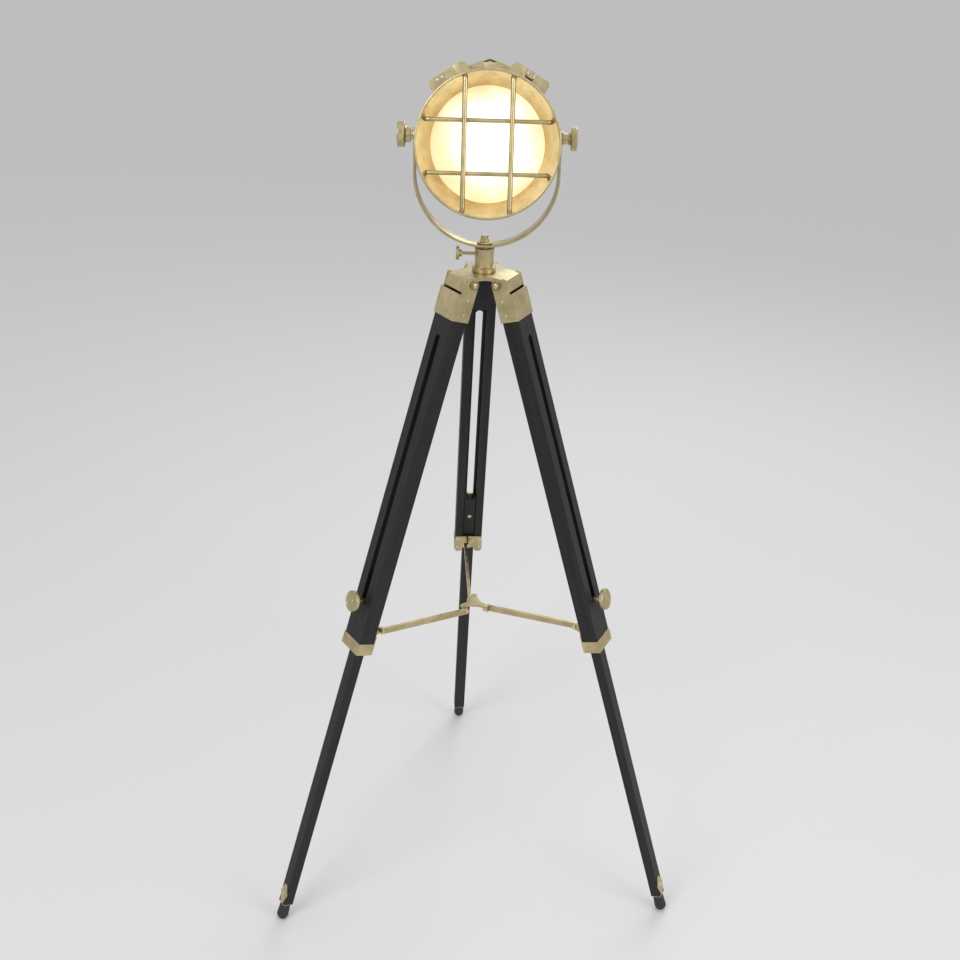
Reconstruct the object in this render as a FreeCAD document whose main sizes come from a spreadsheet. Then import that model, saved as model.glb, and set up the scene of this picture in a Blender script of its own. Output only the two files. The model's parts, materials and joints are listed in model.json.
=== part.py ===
"""Tripod searchlight lamp: parametric FreeCAD document and one STEP file per piece.

Units are millimetres, +Z is up, the floor is z = 0 and the lamp shines towards -Y.
The origin lies on the floor at the middle of the lamp's outer box.
"""
import FreeCAD, Part

import math
import os
import re

import Sketcher

VECTOR = FreeCAD.Vector
DOC = FreeCAD.newDocument("SearchlightLamp")
SHEET = DOC.addObject("Spreadsheet::Sheet", "Sizes")

# Driving dimensions, one group for each sub-assembly. Angles are degrees.
SIZES = {
    "running fits": {
        "pin_clearance": 0.05,
        "face_clearance": 0.3,
    },
    "tripod layout": {
        "tripod_turn": 4.02,
        "leg_splay": 17.55,
        "hinge_radius": 34.8,
        "hinge_height": 1129.3,
    },
    "crown": {
        "crown_rise": 11.7,
        "crown_plate": 7,
        "crown_tip_up": 4.5,
        "crown_belly_gap": 2.7,
        "crown_throat": 27.5,
        "crown_hub_radius": 16.5,
        "crown_hub_high": 2.2,
    },
    "hinge bolts": {
        "bolt_radius": 3,
        "bolt_boss_radius": 7.5,
        "bolt_boss_thick": 2.2,
        "bolt_dome_radius": 3.8,
    },
    "post": {
        "post_radius": 14.6,
        "post_high": 34.6,
        "post_flange_radius": 18.65,
        "post_flange_high": 6.5,
        "post_flange_bevel": 2.5,
        "post_rim_radius": 15.6,
        "post_rim_high": 2,
        "stud_radius": 5,
        "stud_foot_gap": 5.8,
        "stud_groove": 1,
        "stud_groove_high": 7,
        "lock_rise": 24.8,
        "lock_stem_radius": 2.5,
        "lock_disc_radius": 10.7,
        "lock_disc_reach": 44,
        "lock_disc_thick": 5,
        "lock_hub_radius": 6,
        "lock_hub_long": 4,
    },
    "yoke": {
        "yoke_strip": 4,
        "yoke_strip_wide": 22,
        "yoke_clear": 2.2,
        "pivot_rise": 167,
        "yoke_washer_radius": 11.8,
        "yoke_washer_thick": 1.6,
        "yoke_nut_radius": 8.4,
        "yoke_nut_high": 7,
        "yoke_cap_nut_radius": 5.8,
        "yoke_cap_nut_high": 5,
    },
    "head": {
        "head_tilt": 12,
        "barrel_drop": 11.3,
        "barrel_radius": 98,
        "barrel_wall": 2.5,
        "barrel_rear": 70,
        "barrel_corner": 20,
        "barrel_flange_lip": 6,
        "barrel_flange_land": 10,
        "barrel_flange_thick": 2.5,
        "barrel_rear_bore": 40,
        "trunnion_radius": 4,
        "trunnion_boss_radius": 9,
        "trunnion_boss_long": 8.2,
        "trunnion_boss_root": 4,
        "vent_long": 34,
        "vent_wide": 4,
        "vent_pitch": 12,
    },
    "vent hood": {
        "hood_rise": 24,
        "hood_slope": 20.3,
        "hood_half_width": 38,
        "hood_sheet": 2,
        "hood_long": 46,
        "hood_vent_half": 9.5,
    },
    "rear cowl": {
        "cowl_inset": 44,
        "cowl_deep": 20,
        "cowl_corner": 8,
        "cowl_wall": 2,
        "cowl_hole_radius": 4,
        "cowl_hole_circle": 31,
        "cowl_holes": 8,
    },
    "cable gland": {
        "gland_gap": 1.5,
        "gland_radius": 7,
        "gland_nut_long": 7,
        "gland_neck_radius": 5,
        "gland_neck_long": 6,
        "gland_bore_radius": 3,
    },
    "front ring": {
        "ring_over": 7.5,
        "ring_front": 90,
        "ring_rear": 45,
        "ring_lip": 3,
        "ring_lip_round": 1.5,
        "ring_cone": 22.5,
        "ring_wall": 9,
        "glass_front": 52,
        "ring_throat_land": 1,
        "glass_thick": 4,
        "gasket_wide": 10,
    },
    "guard grille": {
        "guard_post_radius": 3.7,
        "guard_post_offset": 34,
        "guard_post_inset": 2.9,
        "guard_post_plane": 88,
        "guard_rail_radius": 3.2,
        "guard_rail_upper": 33.5,
        "guard_rail_lower": 40.5,
        "guard_rail_inset": 6.7,
        "guard_bend": 5,
        "guard_root": 5,
        "guard_hole_clear": 0.3,
        "guard_weld": 0.3,
    },
    "reflector and bulb": {
        "reflector_play": 0.5,
        "reflector_rim_wide": 13,
        "reflector_neck_radius": 20,
        "reflector_neck_rear": 36,
        "reflector_curve": 105,
        "reflector_sheet": 1.2,
        "holder_radius": 19,
        "holder_front": 20,
        "holder_flange_radius": 46,
        "holder_flange_thick": 2,
        "holder_bore_radius": 14,
        "holder_bore_deep": 30,
        "bulb_radius": 30,
        "bulb_centre": 13,
        "bulb_neck_radius": 12,
        "bulb_neck_rear": 21,
        "bulb_cap_radius": 13.2,
        "bulb_cap_long": 25,
    },
    "ring hinge": {
        "hinge_side": 32,
        "door_pin_radius": 1.6,
        "door_knuckle_radius": 3.5,
        "door_pin_rise": 9,
        "door_pin_back": 41,
        "leaf_half_long": 31,
        "leaf_rise": 14.5,
        "leaf_corner": 6,
        "leaf_tab_round": 10,
        "leaf_bar_end": 11,
        "leaf_bar_thick": 2,
        "leaf_thick": 4,
        "leaf_knuckle_long": 19,
        "leaf_screw_radius": 2.6,
        "leaf_screw_high": 1.2,
        "leaf_screw_gap": 8,
        "block_half_long": 27,
        "block_long": 17,
        "block_step": 4,
    },
    "clasp": {
        "clasp_side": 31,
        "clasp_pin_rise": 7,
        "clasp_pin_back": 28,
        "clasp_plate_back": 53,
        "clasp_notch_half": 6.5,
        "clasp_notch_rise": 2,
        "clasp_bar_thick": 4,
        "clasp_side_play": 2.5,
        "clasp_tab_rise": 15,
        "clasp_ear_thick": 3,
        "clasp_ear_radius": 5,
    },
    "tilt knobs": {
        "knob_neck_radius": 7.5,
        "knob_neck_long": 4.2,
        "knob_hub_radius": 11.7,
        "knob_hub_long": 8.3,
        "knob_disc_radius": 18.7,
        "knob_disc_thick": 11.5,
        "slim_neck_radius": 8,
        "slim_neck_long": 11.4,
        "slim_flange_radius": 10,
        "slim_flange_thick": 1.9,
        "slim_disc_radius": 17.7,
        "slim_disc_thick": 8.9,
        "knob_edge_round": 1.5,
        "knob_bore_deep": 12,
        "knurl_radius": 1.3,
        "knurl_count": 15,
    },
    "leg cap": {
        "cap_wall": 1.5,
        "cap_foot": 60,
        "cap_brow": 17,
        "ear_radius": 8.5,
        "ear_outer": 18.6,
        "ear_proud": 0.6,
        "ear_corner": 4,
        "cap_screw_radius": 1.9,
        "cap_screw_high": 1,
        "cap_screw_back": 2.8,
        "cap_screw_upper": 26.7,
        "cap_screw_lower": 49.2,
    },
    "upper leg": {
        "wood_offset": 7.5,
        "wood_width": 50,
        "wood_depth": 28,
        "wood_web": 8,
        "wood_foot": 640,
        "channel_width": 22,
        "channel_top": 72,
        "slot_width": 12,
        "slot_top": 89,
        "wood_chamfer": 1,
    },
    "collar and bracket": {
        "collar_over": 1.4,
        "collar_high": 20.7,
        "collar_wall": 1,
        "bracket_over": 4,
        "bracket_high": 40,
        "bracket_thick": 2,
        "bracket_corner": 6,
        "bracket_notch_half": 11,
        "bracket_notch_deep": 10,
        "bracket_screw_radius": 2.6,
        "bracket_screw_high": 1.2,
        "bracket_screw_side": 20.5,
        "bracket_screw_down": 8,
        "bracket_screw_up": 12,
        "bracket_ring_radius": 5,
        "bracket_ring_down": 12,
        "lug_root_long": 20,
    },
    "lower leg": {
        "lower_width": 21,
        "lower_depth": 17,
        "lower_top": 505,
        "lower_notch_radius": 6,
        "clamp_down": 48,
        "foot_gap": 23,
    },
    "clamp knob": {
        "clamp_bolt_radius": 4,
        "clamp_tail": 1.5,
        "clamp_sleeve_radius": 6,
        "clamp_hub_start": 11.5,
        "clamp_hub_radius": 9.3,
        "clamp_disc_start": 17,
        "clamp_disc_thick": 6,
        "clamp_disc_radius": 17.5,
    },
    "feet": {
        "foot_ball_radius": 10.2,
        "foot_top_radius": 8.8,
        "foot_sheet": 1.2,
        "spade_half_width": 11.3,
        "spade_high": 38,
        "spade_shoulder": 20,
        "spade_tip_half": 3,
        "spade_point": 3,
        "spade_screw_radius": 3,
        "spade_screw_high": 1.2,
        "spade_screw_height": 20,
    },
    "braces": {
        "brace_pin_in": 29.5,
        "brace_pin_down": 2,
        "brace_slope": 5.2,
        "brace_high": 10,
        "brace_wide": 5,
        "brace_sheet": 1.2,
        "brace_lateral": 4.3,
        "brace_pin_radius": 2,
        "rivet_dome_radius": 3.2,
        "rivet_dome_high": 1.6,
        "lug_thick": 3,
        "lug_radius": 5,
        "spider_pin_circle": 21,
        "spider_plate": 3,
        "spider_clear": 0.5,
        "spider_lobe_reach": 27,
        "spider_lobe_half": 4,
        "spider_lobe_free": 6,
        "spider_lobe_round": 3,
        "spider_waist_start": 14.5,
        "spider_waist_end": 18,
        "spider_waist_bend": 50,
        "spider_ear_half": 5,
    },
}
ALIASES = {}
for group_sizes in SIZES.values():
    ALIASES.update(group_sizes)

# Values worked out from the driving dimensions, as expressions.
WORKED = {
    "arm_width": "wood_width",
    # leg cross-section, in the leg's own frame: x outwards, z up the leg from the hinge axis
    "wood_inner": "wood_offset - wood_depth / 2",
    "wood_outer": "wood_offset + wood_depth / 2",
    "channel_floor": "wood_outer - wood_web",
    "wood_head": "-cap_brow",
    "lower_outer": "channel_floor - face_clearance",
    "lower_inner": "lower_outer - lower_depth",
    "lower_centre": "(lower_outer + lower_inner) / 2",
    "clamp_height": "lower_top + clamp_down",
    # collar, bracket and brace pin, from the wood's foot up
    "collar_foot": "wood_foot + collar_over",
    "collar_top": "collar_foot - collar_high",
    "bracket_foot": "wood_foot + bracket_over",
    "bracket_top": "bracket_foot - bracket_high",
    "bracket_notch_floor": "bracket_foot - bracket_notch_deep",
    "bracket_screw_upper": "bracket_top + bracket_screw_down",
    "bracket_screw_lower": "bracket_foot - bracket_screw_up",
    "bracket_ring_height": "bracket_top + bracket_ring_down",
    "brace_pin_height": "bracket_top + brace_pin_down",
    "lug_root_foot": "brace_pin_height + lug_root_long",
    "slot_end": "clamp_height + slot_width / 2 - clamp_bolt_radius / 2",
    # feet: balls that rest on the floor
    "foot_ball_height": "(foot_ball_radius - hinge_height - lower_centre * sin(leg_splay)) / cos(leg_splay)",
    "foot_circle": "hinge_radius + lower_centre * cos(leg_splay) - foot_ball_height * sin(leg_splay)",
    "lower_foot": "foot_ball_height + foot_gap + foot_sheet",
    "rear_angle": "90 + tripod_turn",
    "left_angle": "210 + tripod_turn",
    "right_angle": "330 + tripod_turn",
    "axis_x": "-foot_circle * (cos(left_angle) + cos(right_angle)) / 2",
    "axis_y": "-foot_circle * (sin(rear_angle) + sin(left_angle)) / 2",
    # brace pins in the radial plane of a leg
    "brace_pin_radial": "hinge_radius - brace_pin_in * cos(leg_splay) + brace_pin_height * sin(leg_splay)",
    "brace_pin_level": "hinge_height - brace_pin_in * sin(leg_splay) - brace_pin_height * cos(leg_splay)",
    "brace_length": "(brace_pin_radial - spider_pin_circle) / cos(brace_slope)",
    "spider_level": "brace_pin_level - brace_length * sin(brace_slope)",
    # webs between the crown's arms, up to the caps' ears
    "crown_web_reach": "hinge_radius - ear_radius",
    "crown_web_bend": "(crown_web_reach - arm_width / (2 * tan(60))) / tan(30)",
    # heights, from the hinge axis up
    "crown_top": "hinge_height + crown_rise",
    "post_foot": "crown_top + crown_hub_high",
    "post_top": "post_foot + post_high",
    "stud_foot": "post_foot + stud_foot_gap",
    "lock_height": "post_foot + lock_rise",
    "yoke_seat": "post_top + yoke_clear",
    "pivot_height": "yoke_seat + pivot_rise",
    # yoke and head, from the drum's radius out
    "yoke_inner": "barrel_radius + trunnion_boss_long + face_clearance",
    "yoke_half_width": "yoke_inner + yoke_strip",
    "yoke_centre": "yoke_seat + yoke_half_width",
    "yoke_top": "pivot_height + yoke_strip_wide / 2",
    "nut_foot": "yoke_seat + yoke_strip + yoke_washer_thick",
    "stud_top": "nut_foot + yoke_nut_high + yoke_cap_nut_high",
    "barrel_flange_radius": "barrel_radius + barrel_flange_lip",
    "barrel_flange_bore": "barrel_radius - barrel_flange_land",
    "barrel_front": "-ring_rear + face_clearance",
    "flange_back": "barrel_front + barrel_flange_thick",
    "cowl_radius": "barrel_radius - cowl_inset",
    "gland_drop": "cowl_radius + gland_radius + gland_gap",
    "reflector_rim_radius": "barrel_radius - barrel_wall - reflector_play",
    "reflector_mouth_radius": "reflector_rim_radius - reflector_rim_wide",
    "hood_peak": "barrel_radius + hood_rise",
    "hood_under": "hood_peak - hood_sheet / cos(hood_slope)",
    "hood_inner": "hood_half_width - hood_sheet",
    # front ring, its bars and what stands on its rim
    "ring_radius": "barrel_radius + ring_over",
    "ring_lip_radius": "ring_radius - ring_lip",
    "ring_throat_radius": "ring_radius - ring_cone",
    "ring_seat_radius": "ring_radius - ring_wall",
    "gasket_bore_radius": "ring_seat_radius - gasket_wide",
    "guard_post_circle": "ring_lip_radius - guard_post_inset",
    "guard_post_reach": "sqrt(guard_post_circle ^ 2 - guard_post_offset ^ 2)",
    "guard_rail_circle": "ring_lip_radius - guard_rail_inset",
    "guard_rail_plane": "guard_post_plane - guard_post_radius - guard_rail_radius + guard_weld",
    "door_pin_out": "ring_radius + door_pin_rise",
    "leaf_top": "ring_radius + leaf_rise",
    "clasp_pin_out": "ring_radius + clasp_pin_rise",
    "clasp_notch_floor": "ring_radius + clasp_notch_rise",
    "clasp_tab_top": "ring_radius + clasp_tab_rise",
    "leaf_floor": "sqrt(ring_radius ^ 2 - leaf_half_long ^ 2)",
    "hood_eave": "hood_peak - hood_half_width * tan(hood_slope)",
    "hood_foot": "sqrt(barrel_radius ^ 2 - hood_inner ^ 2)",
    "knob_start": "yoke_half_width + face_clearance",
    "knob_neck_end": "yoke_half_width + knob_neck_long",
    "knob_hub_end": "knob_neck_end + knob_hub_long",
    "knob_disc_end": "knob_hub_end + knob_disc_thick",
    "slim_flange_end": "yoke_half_width + slim_flange_thick",
    "slim_neck_end": "slim_flange_end + slim_neck_long",
    "slim_disc_end": "slim_neck_end + slim_disc_thick",
}
LEGS = {"rear": "rear_angle", "left": "left_angle", "right": "right_angle"}
THROUGH = "4 * barrel_radius"


def sized(text):
    """Point each name in an expression at the sheet, or put its own expression in its place."""
    def swap(match):
        word = match.group()
        if word in WORKED:
            return "(" + sized(WORKED[word]) + ")"
        return "Sizes." + word if word in ALIASES else word
    return re.sub(r"[a-z][a-z_]+", swap, str(text))


def number(text):
    """Value of an expression, in millimetres or degrees."""
    value = SHEET.evalExpression(sized(text))
    return float(getattr(value, "Value", value))


def bind(thing, name, text):
    """Tie one property or constraint to the sheet."""
    thing.setExpression(name, sized(text))


def move(x, y, z):
    """Placement step: a shift."""
    return f"create(<<placement>>; create(<<vector>>; {x}; {y}; {z}); create(<<rotation>>; 0; 0; 0))"


def turn(axis, angle):
    """Placement step: a turn about a unit axis through the origin."""
    spin = f"create(<<rotation>>; create(<<vector>>; {axis}); {angle})"
    return f"create(<<placement>>; create(<<vector>>; 0; 0; 0); {spin})"


def place(thing, *steps):
    """Bind a piece's Placement to a chain of steps."""
    bind(thing, "Placement", " * ".join(steps))


AXIS_X, AXIS_Y, AXIS_Z = "1; 0; 0", "0; 1; 0", "0; 0; 1"
TRIPOD = (move("axis_x", "axis_y", "0"),)
BARREL = (move("axis_x", "axis_y", "pivot_height"), turn(AXIS_X, "-head_tilt"),
          move("0", "0", "-barrel_drop"))
HINGE_SIDE = BARREL + (turn(AXIS_Y, "-hinge_side"),)
CLASP_SIDE = BARREL + (turn(AXIS_Y, "clasp_side"),)


def leg_frame(angle):
    """Frame of one leg: origin on its hinge axis, x outwards, y along the axis, z up the leg."""
    return TRIPOD + (turn(AXIS_Z, angle), move("hinge_radius", "0", "hinge_height"),
                     turn(AXIS_Y, "-leg_splay"))


# ---------------------------------------------------------------- sketching
def new_body(name, *steps):
    """A body whose label is the name of its file."""
    body = DOC.addObject("PartDesign::Body", name)
    body.Label = name
    place(body, *steps)
    return body


def plane_of(body, role):
    """One of the body's own origin planes."""
    return next(item for item in body.Origin.OriginFeatures if item.Role == role)


def sketch_on(body, role, lift="0"):
    """An empty sketch on an origin plane, lifted along the plane's normal."""
    sketch = body.newObject("Sketcher::SketchObject", "Sketch")
    sketch.AttachmentSupport = (plane_of(body, role), [""])
    sketch.MapMode = "FlatFace"
    bind(sketch, "AttachmentOffset.Base.z", lift)
    return sketch


def pin_down(sketch, curve, end, x, y):
    """Hold one end of a curve at bound coordinates."""
    for kind, text in (("DistanceX", x), ("DistanceY", y)):
        rule = sketch.addConstraint(Sketcher.Constraint(kind, -1, 1, curve, end, number(text)))
        bind(sketch, f"Constraints[{rule}]", text)


def arc_between(start, end, radius):
    """Short arc from start to end; a positive radius turns anticlockwise."""
    chord = end - start
    middle = (start + end) * 0.5
    rise = math.sqrt(max(radius * radius - chord.Length ** 2 / 4, 0.0))
    side = VECTOR(-chord.y, chord.x, 0).normalize() * math.copysign(rise, radius)
    centre = middle + side
    first, last = (start, end) if radius > 0 else (end, start)
    angles = [math.atan2(point.y - centre.y, point.x - centre.x) for point in (first, last)]
    circle = Part.Circle(centre, VECTOR(0, 0, 1), abs(radius))
    return Part.ArcOfCircle(circle, angles[0], angles[1] + (2 * math.pi if angles[1] < angles[0] else 0))


def outline(sketch, corners, closed=True):
    """Draw a chain of lines; a third value at a corner makes the next edge an arc of that radius."""
    points = [VECTOR(number(corner[0]), number(corner[1]), 0) for corner in corners]
    ends = []
    for index in range(len(corners) if closed else len(corners) - 1):
        start, end = points[index], points[(index + 1) % len(points)]
        bend = number(corners[index][2]) if len(corners[index]) > 2 else 0.0
        edge = arc_between(start, end, bend) if bend else Part.LineSegment(start, end)
        curve = sketch.addGeometry(edge, False)
        if bend:
            rule = sketch.addConstraint(Sketcher.Constraint("Radius", curve, abs(bend)))
            bind(sketch, f"Constraints[{rule}]", f"abs({corners[index][2]})")
        ends.append((curve, 2, 1) if bend < 0 else (curve, 1, 2))
    for index, (curve, first, last) in enumerate(ends):
        pin_down(sketch, curve, first, *corners[index][:2])
        if closed or index < len(ends) - 1:
            follower = ends[(index + 1) % len(ends)]
            sketch.addConstraint(Sketcher.Constraint("Coincident", curve, last, follower[0], follower[1]))
        else:
            pin_down(sketch, curve, last, *corners[-1][:2])
    return sketch


def three_times(lobe):
    """Corners of one lobe, repeated at thirds of a turn."""
    return [(f"({x}) * cos({angle}) - ({y}) * sin({angle})", f"({x}) * sin({angle}) + ({y}) * cos({angle})",
             *bends) for angle in (0, 120, 240) for x, y, *bends in lobe]


def circles(sketch, *rounds):
    """Draw full circles, each given as centre x, centre y and radius."""
    for x, y, radius in rounds:
        circle = Part.Circle(VECTOR(number(x), number(y), 0), VECTOR(0, 0, 1), number(radius))
        curve = sketch.addGeometry(circle, False)
        pin_down(sketch, curve, 3, x, y)
        rule = sketch.addConstraint(Sketcher.Constraint("Radius", curve, number(radius)))
        bind(sketch, f"Constraints[{rule}]", radius)
    return sketch


def box_outline(x_low, x_high, y_low, y_high):
    """Corners of a rectangle."""
    return [(x_low, y_low), (x_high, y_low), (x_high, y_high), (x_low, y_high)]


# ---------------------------------------------------------------- features
def extrude(body, kind, sketch, length, both=False, back=False):
    """Pad or Pocket of a sketch by a bound length, to one side or to both."""
    feature = body.newObject("PartDesign::" + kind, kind)
    feature.Profile = sketch
    feature.SideType = "Symmetric" if both else "One side"
    feature.Reversed = back
    bind(feature, "Length", length)
    DOC.recompute()
    return feature


def pad(body, sketch, length, both=False, back=False):
    """Add material along the sketch's normal."""
    return extrude(body, "Pad", sketch, length, both, back)


def cut(body, sketch, length, both=False, back=False):
    """Take material away; it has to get lighter."""
    before = body.Shape.Volume
    feature = extrude(body, "Pocket", sketch, length, both, back)
    if body.Shape.Volume >= before - 1e-6:
        raise RuntimeError(f"{body.Label}: a pocket cuts nothing")
    return feature


def spin(body, sketch, axis):
    """Revolve a profile about a sketch axis."""
    feature = body.newObject("PartDesign::Revolution", "Revolution")
    feature.Profile = sketch
    feature.ReferenceAxis = (sketch, [axis])
    feature.Angle = 360
    DOC.recompute()
    return feature


def repeat(body, features, count):
    """Polar pattern about the body's Z axis."""
    pattern = body.newObject("PartDesign::PolarPattern", "PolarPattern")
    pattern.Originals = features
    pattern.Axis = (next(item for item in body.Origin.OriginFeatures if item.Role == "Z_Axis"), [""])
    pattern.Angle = 360
    bind(pattern, "Occurrences", count)
    body.Tip = pattern
    DOC.recompute()
    return pattern


def reflect(body, features, role):
    """Mirror features in one of the body's origin planes."""
    mirror = body.newObject("PartDesign::Mirrored", "Mirrored")
    mirror.Originals = features
    mirror.MirrorPlane = (plane_of(body, role), [""])
    body.Tip = mirror
    DOC.recompute()
    return mirror


def edges_where(body, test):
    """Names of the tip's edges whose ends and middle pass a test."""
    names = []
    for index, edge in enumerate(body.Tip.Shape.Edges):
        middle = edge.valueAt((edge.FirstParameter + edge.LastParameter) / 2)
        if test(edge, middle):
            names.append(f"Edge{index + 1}")
    return names


def soften(body, kind, size, test):
    """Fillet or chamfer the edges that pass a test."""
    solid = body.Tip
    names = edges_where(body, test)
    if not names:
        raise RuntimeError(f"{body.Label}: no edge to soften")
    feature = body.newObject("PartDesign::" + kind, kind)
    feature.Base = (solid, names)
    bind(feature, "Radius" if kind == "Fillet" else "Size", size)
    DOC.recompute()
    return feature


def along(edge, axis):
    """Whether an edge is a straight line along an axis."""
    if not isinstance(edge.Curve, (Part.Line, Part.LineSegment)):
        return False
    return abs(edge.Curve.Direction.dot(axis)) > 0.999


def turned(name, axis, steps, corners):
    """A turned piece: corners are (distance along the axis, radius)."""
    body = new_body(name, *steps)
    if axis == "z":
        swapped = [(radius, level) + tuple(f"-({bend})" for bend in rest) for level, radius, *rest in corners]
        spin(body, outline(sketch_on(body, "XZ_Plane"), swapped), "V_Axis")
    else:
        profile = outline(sketch_on(body, "XZ_Plane" if axis == "x" else "YZ_Plane"), corners)
        spin(body, profile, "H_Axis")
    return body


def domes(body, role, lift, height, spots, back=False):
    """Low round screw heads standing on a face."""
    heads = pad(body, circles(sketch_on(body, role, lift), *spots), height, back=back)
    return heads


# ---------------------------------------------------------------- crown, post and yoke
def leg_point(x, z):
    """Radius and height of a point that a leg's frame gives, as two expressions."""
    radial = f"(hinge_radius + ({x}) * cos(leg_splay) - ({z}) * sin(leg_splay))"
    level = f"(hinge_height + ({x}) * sin(leg_splay) + ({z}) * cos(leg_splay))"
    return radial, level


def build_crown():
    """Three box arms under one plate, with a low round hub; each arm ends square to its leg."""
    body = new_body("crown", *TRIPOD, turn(AXIS_Z, "rear_angle"))
    tip = leg_point("ear_outer - ear_proud", "crown_tip_up")
    toe = leg_point("ear_outer - ear_proud", "wood_head + crown_belly_gap")
    belly = leg_point("wood_inner + 4", "wood_head + crown_belly_gap")
    arm = pad(body, outline(sketch_on(body, "XZ_Plane"), [
        ("0", "crown_top - crown_plate"), ("crown_throat", "crown_top - crown_plate"),
        ("crown_throat", "hinge_height - ear_radius"), belly, toe, tip, ("crown_web_reach", "crown_top"),
        ("0", "crown_top")]), "arm_width", both=True)
    repeat(body, [arm], "3")
    web = [("crown_web_reach", "-arm_width / 2"), ("crown_web_reach", "arm_width / 2", "-crown_web_bend")]
    pad(body, outline(sketch_on(body, "XY_Plane", "crown_top - crown_plate"), three_times(web)),
        "crown_plate")
    bolt_place = ("hinge_radius", "hinge_height", "bolt_radius")
    bolt_hole = cut(body, circles(sketch_on(body, "XZ_Plane"), bolt_place), "arm_width * 1.2", both=True)
    repeat(body, [bolt_hole], "3")
    pad(body, circles(sketch_on(body, "XY_Plane", "crown_top"), ("0", "0", "crown_hub_radius")),
        "crown_hub_high")
    cut(body, circles(sketch_on(body, "XY_Plane", "post_foot"), ("0", "0", "stud_radius + pin_clearance")),
        "crown_hub_high + 2 * crown_plate")


def build_hinge_bolts():
    """Three through bolts with a boss and a dome at each end."""
    body = new_body("hinge_bolts", *TRIPOD, turn(AXIS_Z, "rear_angle"))
    bolt = pad(body, circles(sketch_on(body, "XZ_Plane"), ("hinge_radius", "hinge_height", "bolt_radius")),
               "arm_width + 2 * cap_wall + 2 * face_clearance", both=True)
    parts = [bolt]
    lift = "arm_width / 2 + cap_wall + face_clearance"
    for side, back in ((lift, False), (f"-({lift})", True)):
        parts.append(domes(body, "XZ_Plane", side, "bolt_boss_thick",
                           [("hinge_radius", "hinge_height", "bolt_boss_radius")], back))
        top = f"{side} + bolt_boss_thick" if not back else f"{side} - bolt_boss_thick"
        parts.append(domes(body, "XZ_Plane", top, "bolt_boss_thick",
                           [("hinge_radius", "hinge_height", "bolt_dome_radius")], back))
    repeat(body, parts, "3")
    return body


def build_post():
    """Turned post with a bevelled foot flange, a rim and the bore for the yoke's stud."""
    body = turned("post_socket", "z", TRIPOD, [
        ("post_foot", "stud_radius + pin_clearance"), ("post_foot", "post_flange_radius"),
        ("post_foot + post_flange_high - post_flange_bevel", "post_flange_radius"),
        ("post_foot + post_flange_high", "post_flange_radius - post_flange_bevel"),
        ("post_foot + post_flange_high", "post_radius"), ("post_top - post_rim_high", "post_radius"),
        ("post_top - post_rim_high", "post_rim_radius"), ("post_top", "post_rim_radius"),
        ("post_top", "stud_radius + pin_clearance")])
    cut(body, circles(sketch_on(body, "YZ_Plane"), ("0", "lock_height", "lock_stem_radius + pin_clearance")),
        "post_flange_radius")
    return body


def build_yoke():
    """Flat strip bent to a U, with its stud, washer and stepped nut."""
    body = new_body("yoke_band", *TRIPOD)
    pad(body, outline(sketch_on(body, "XZ_Plane"), [
        ("-yoke_half_width", "yoke_top"), ("-yoke_half_width", "yoke_centre", "yoke_half_width"),
        ("0", "yoke_seat", "yoke_half_width"), ("yoke_half_width", "yoke_centre"),
        ("yoke_half_width", "yoke_top"),
        ("yoke_inner", "yoke_top"), ("yoke_inner", "yoke_centre", "-yoke_inner"),
        ("0", "yoke_seat + yoke_strip", "-yoke_inner"), ("-yoke_inner", "yoke_centre"),
        ("-yoke_inner", "yoke_top")]), "yoke_strip_wide", both=True)
    soften(body, "Fillet", "yoke_strip_wide / 2 - 0.1", lambda edge, middle: along(edge, VECTOR(1, 0, 0))
           and middle.z > number("yoke_top") - 1)
    cut(body, circles(sketch_on(body, "YZ_Plane"), ("0", "pivot_height", "trunnion_radius + pin_clearance")),
        THROUGH, both=True)
    cut(body, circles(sketch_on(body, "XY_Plane", "yoke_centre"), ("0", "0", "stud_radius")), THROUGH)
    turned("swivel_stud", "z", TRIPOD, [
        ("stud_foot", "0"), ("stud_foot", "stud_radius"),
        ("lock_height - stud_groove_high / 2", "stud_radius"),
        ("lock_height - stud_groove_high / 2", "stud_radius - stud_groove"),
        ("lock_height + stud_groove_high / 2", "stud_radius - stud_groove"),
        ("lock_height + stud_groove_high / 2", "stud_radius"), ("stud_top", "stud_radius"),
        ("stud_top", "0")])
    turned("yoke_washer", "z", TRIPOD, [
        ("nut_foot - 0.2", "stud_radius"), ("nut_foot - 0.2", "yoke_washer_radius"),
        ("nut_foot + yoke_washer_thick - 0.2", "yoke_washer_radius"),
        ("nut_foot + yoke_washer_thick - 0.2", "stud_radius")])
    nut = turned("yoke_nut", "z", TRIPOD, [
        ("nut_foot + yoke_washer_thick", "stud_radius"), ("nut_foot + yoke_washer_thick", "yoke_nut_radius"),
        ("nut_foot + yoke_nut_high", "yoke_nut_radius"), ("nut_foot + yoke_nut_high", "yoke_cap_nut_radius"),
        ("stud_top", "yoke_cap_nut_radius"), ("stud_top", "stud_radius")])
    flat = cut(nut, outline(sketch_on(nut, "XY_Plane", "nut_foot"), box_outline(
        "yoke_nut_radius * cos(30)", "yoke_nut_radius * 2", "-yoke_nut_radius", "yoke_nut_radius")),
        "yoke_nut_high", back=True)
    repeat(nut, [flat], "6")


def knurl(body, radius, start, length):
    """Flutes around a turned rim whose axis is the body's Z axis."""
    flute = circles(sketch_on(body, "XY_Plane", start), (f"{radius} + knurl_radius / 3", "0", "knurl_radius"))
    repeat(body, [cut(body, flute, length)], "knurl_count")


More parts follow.
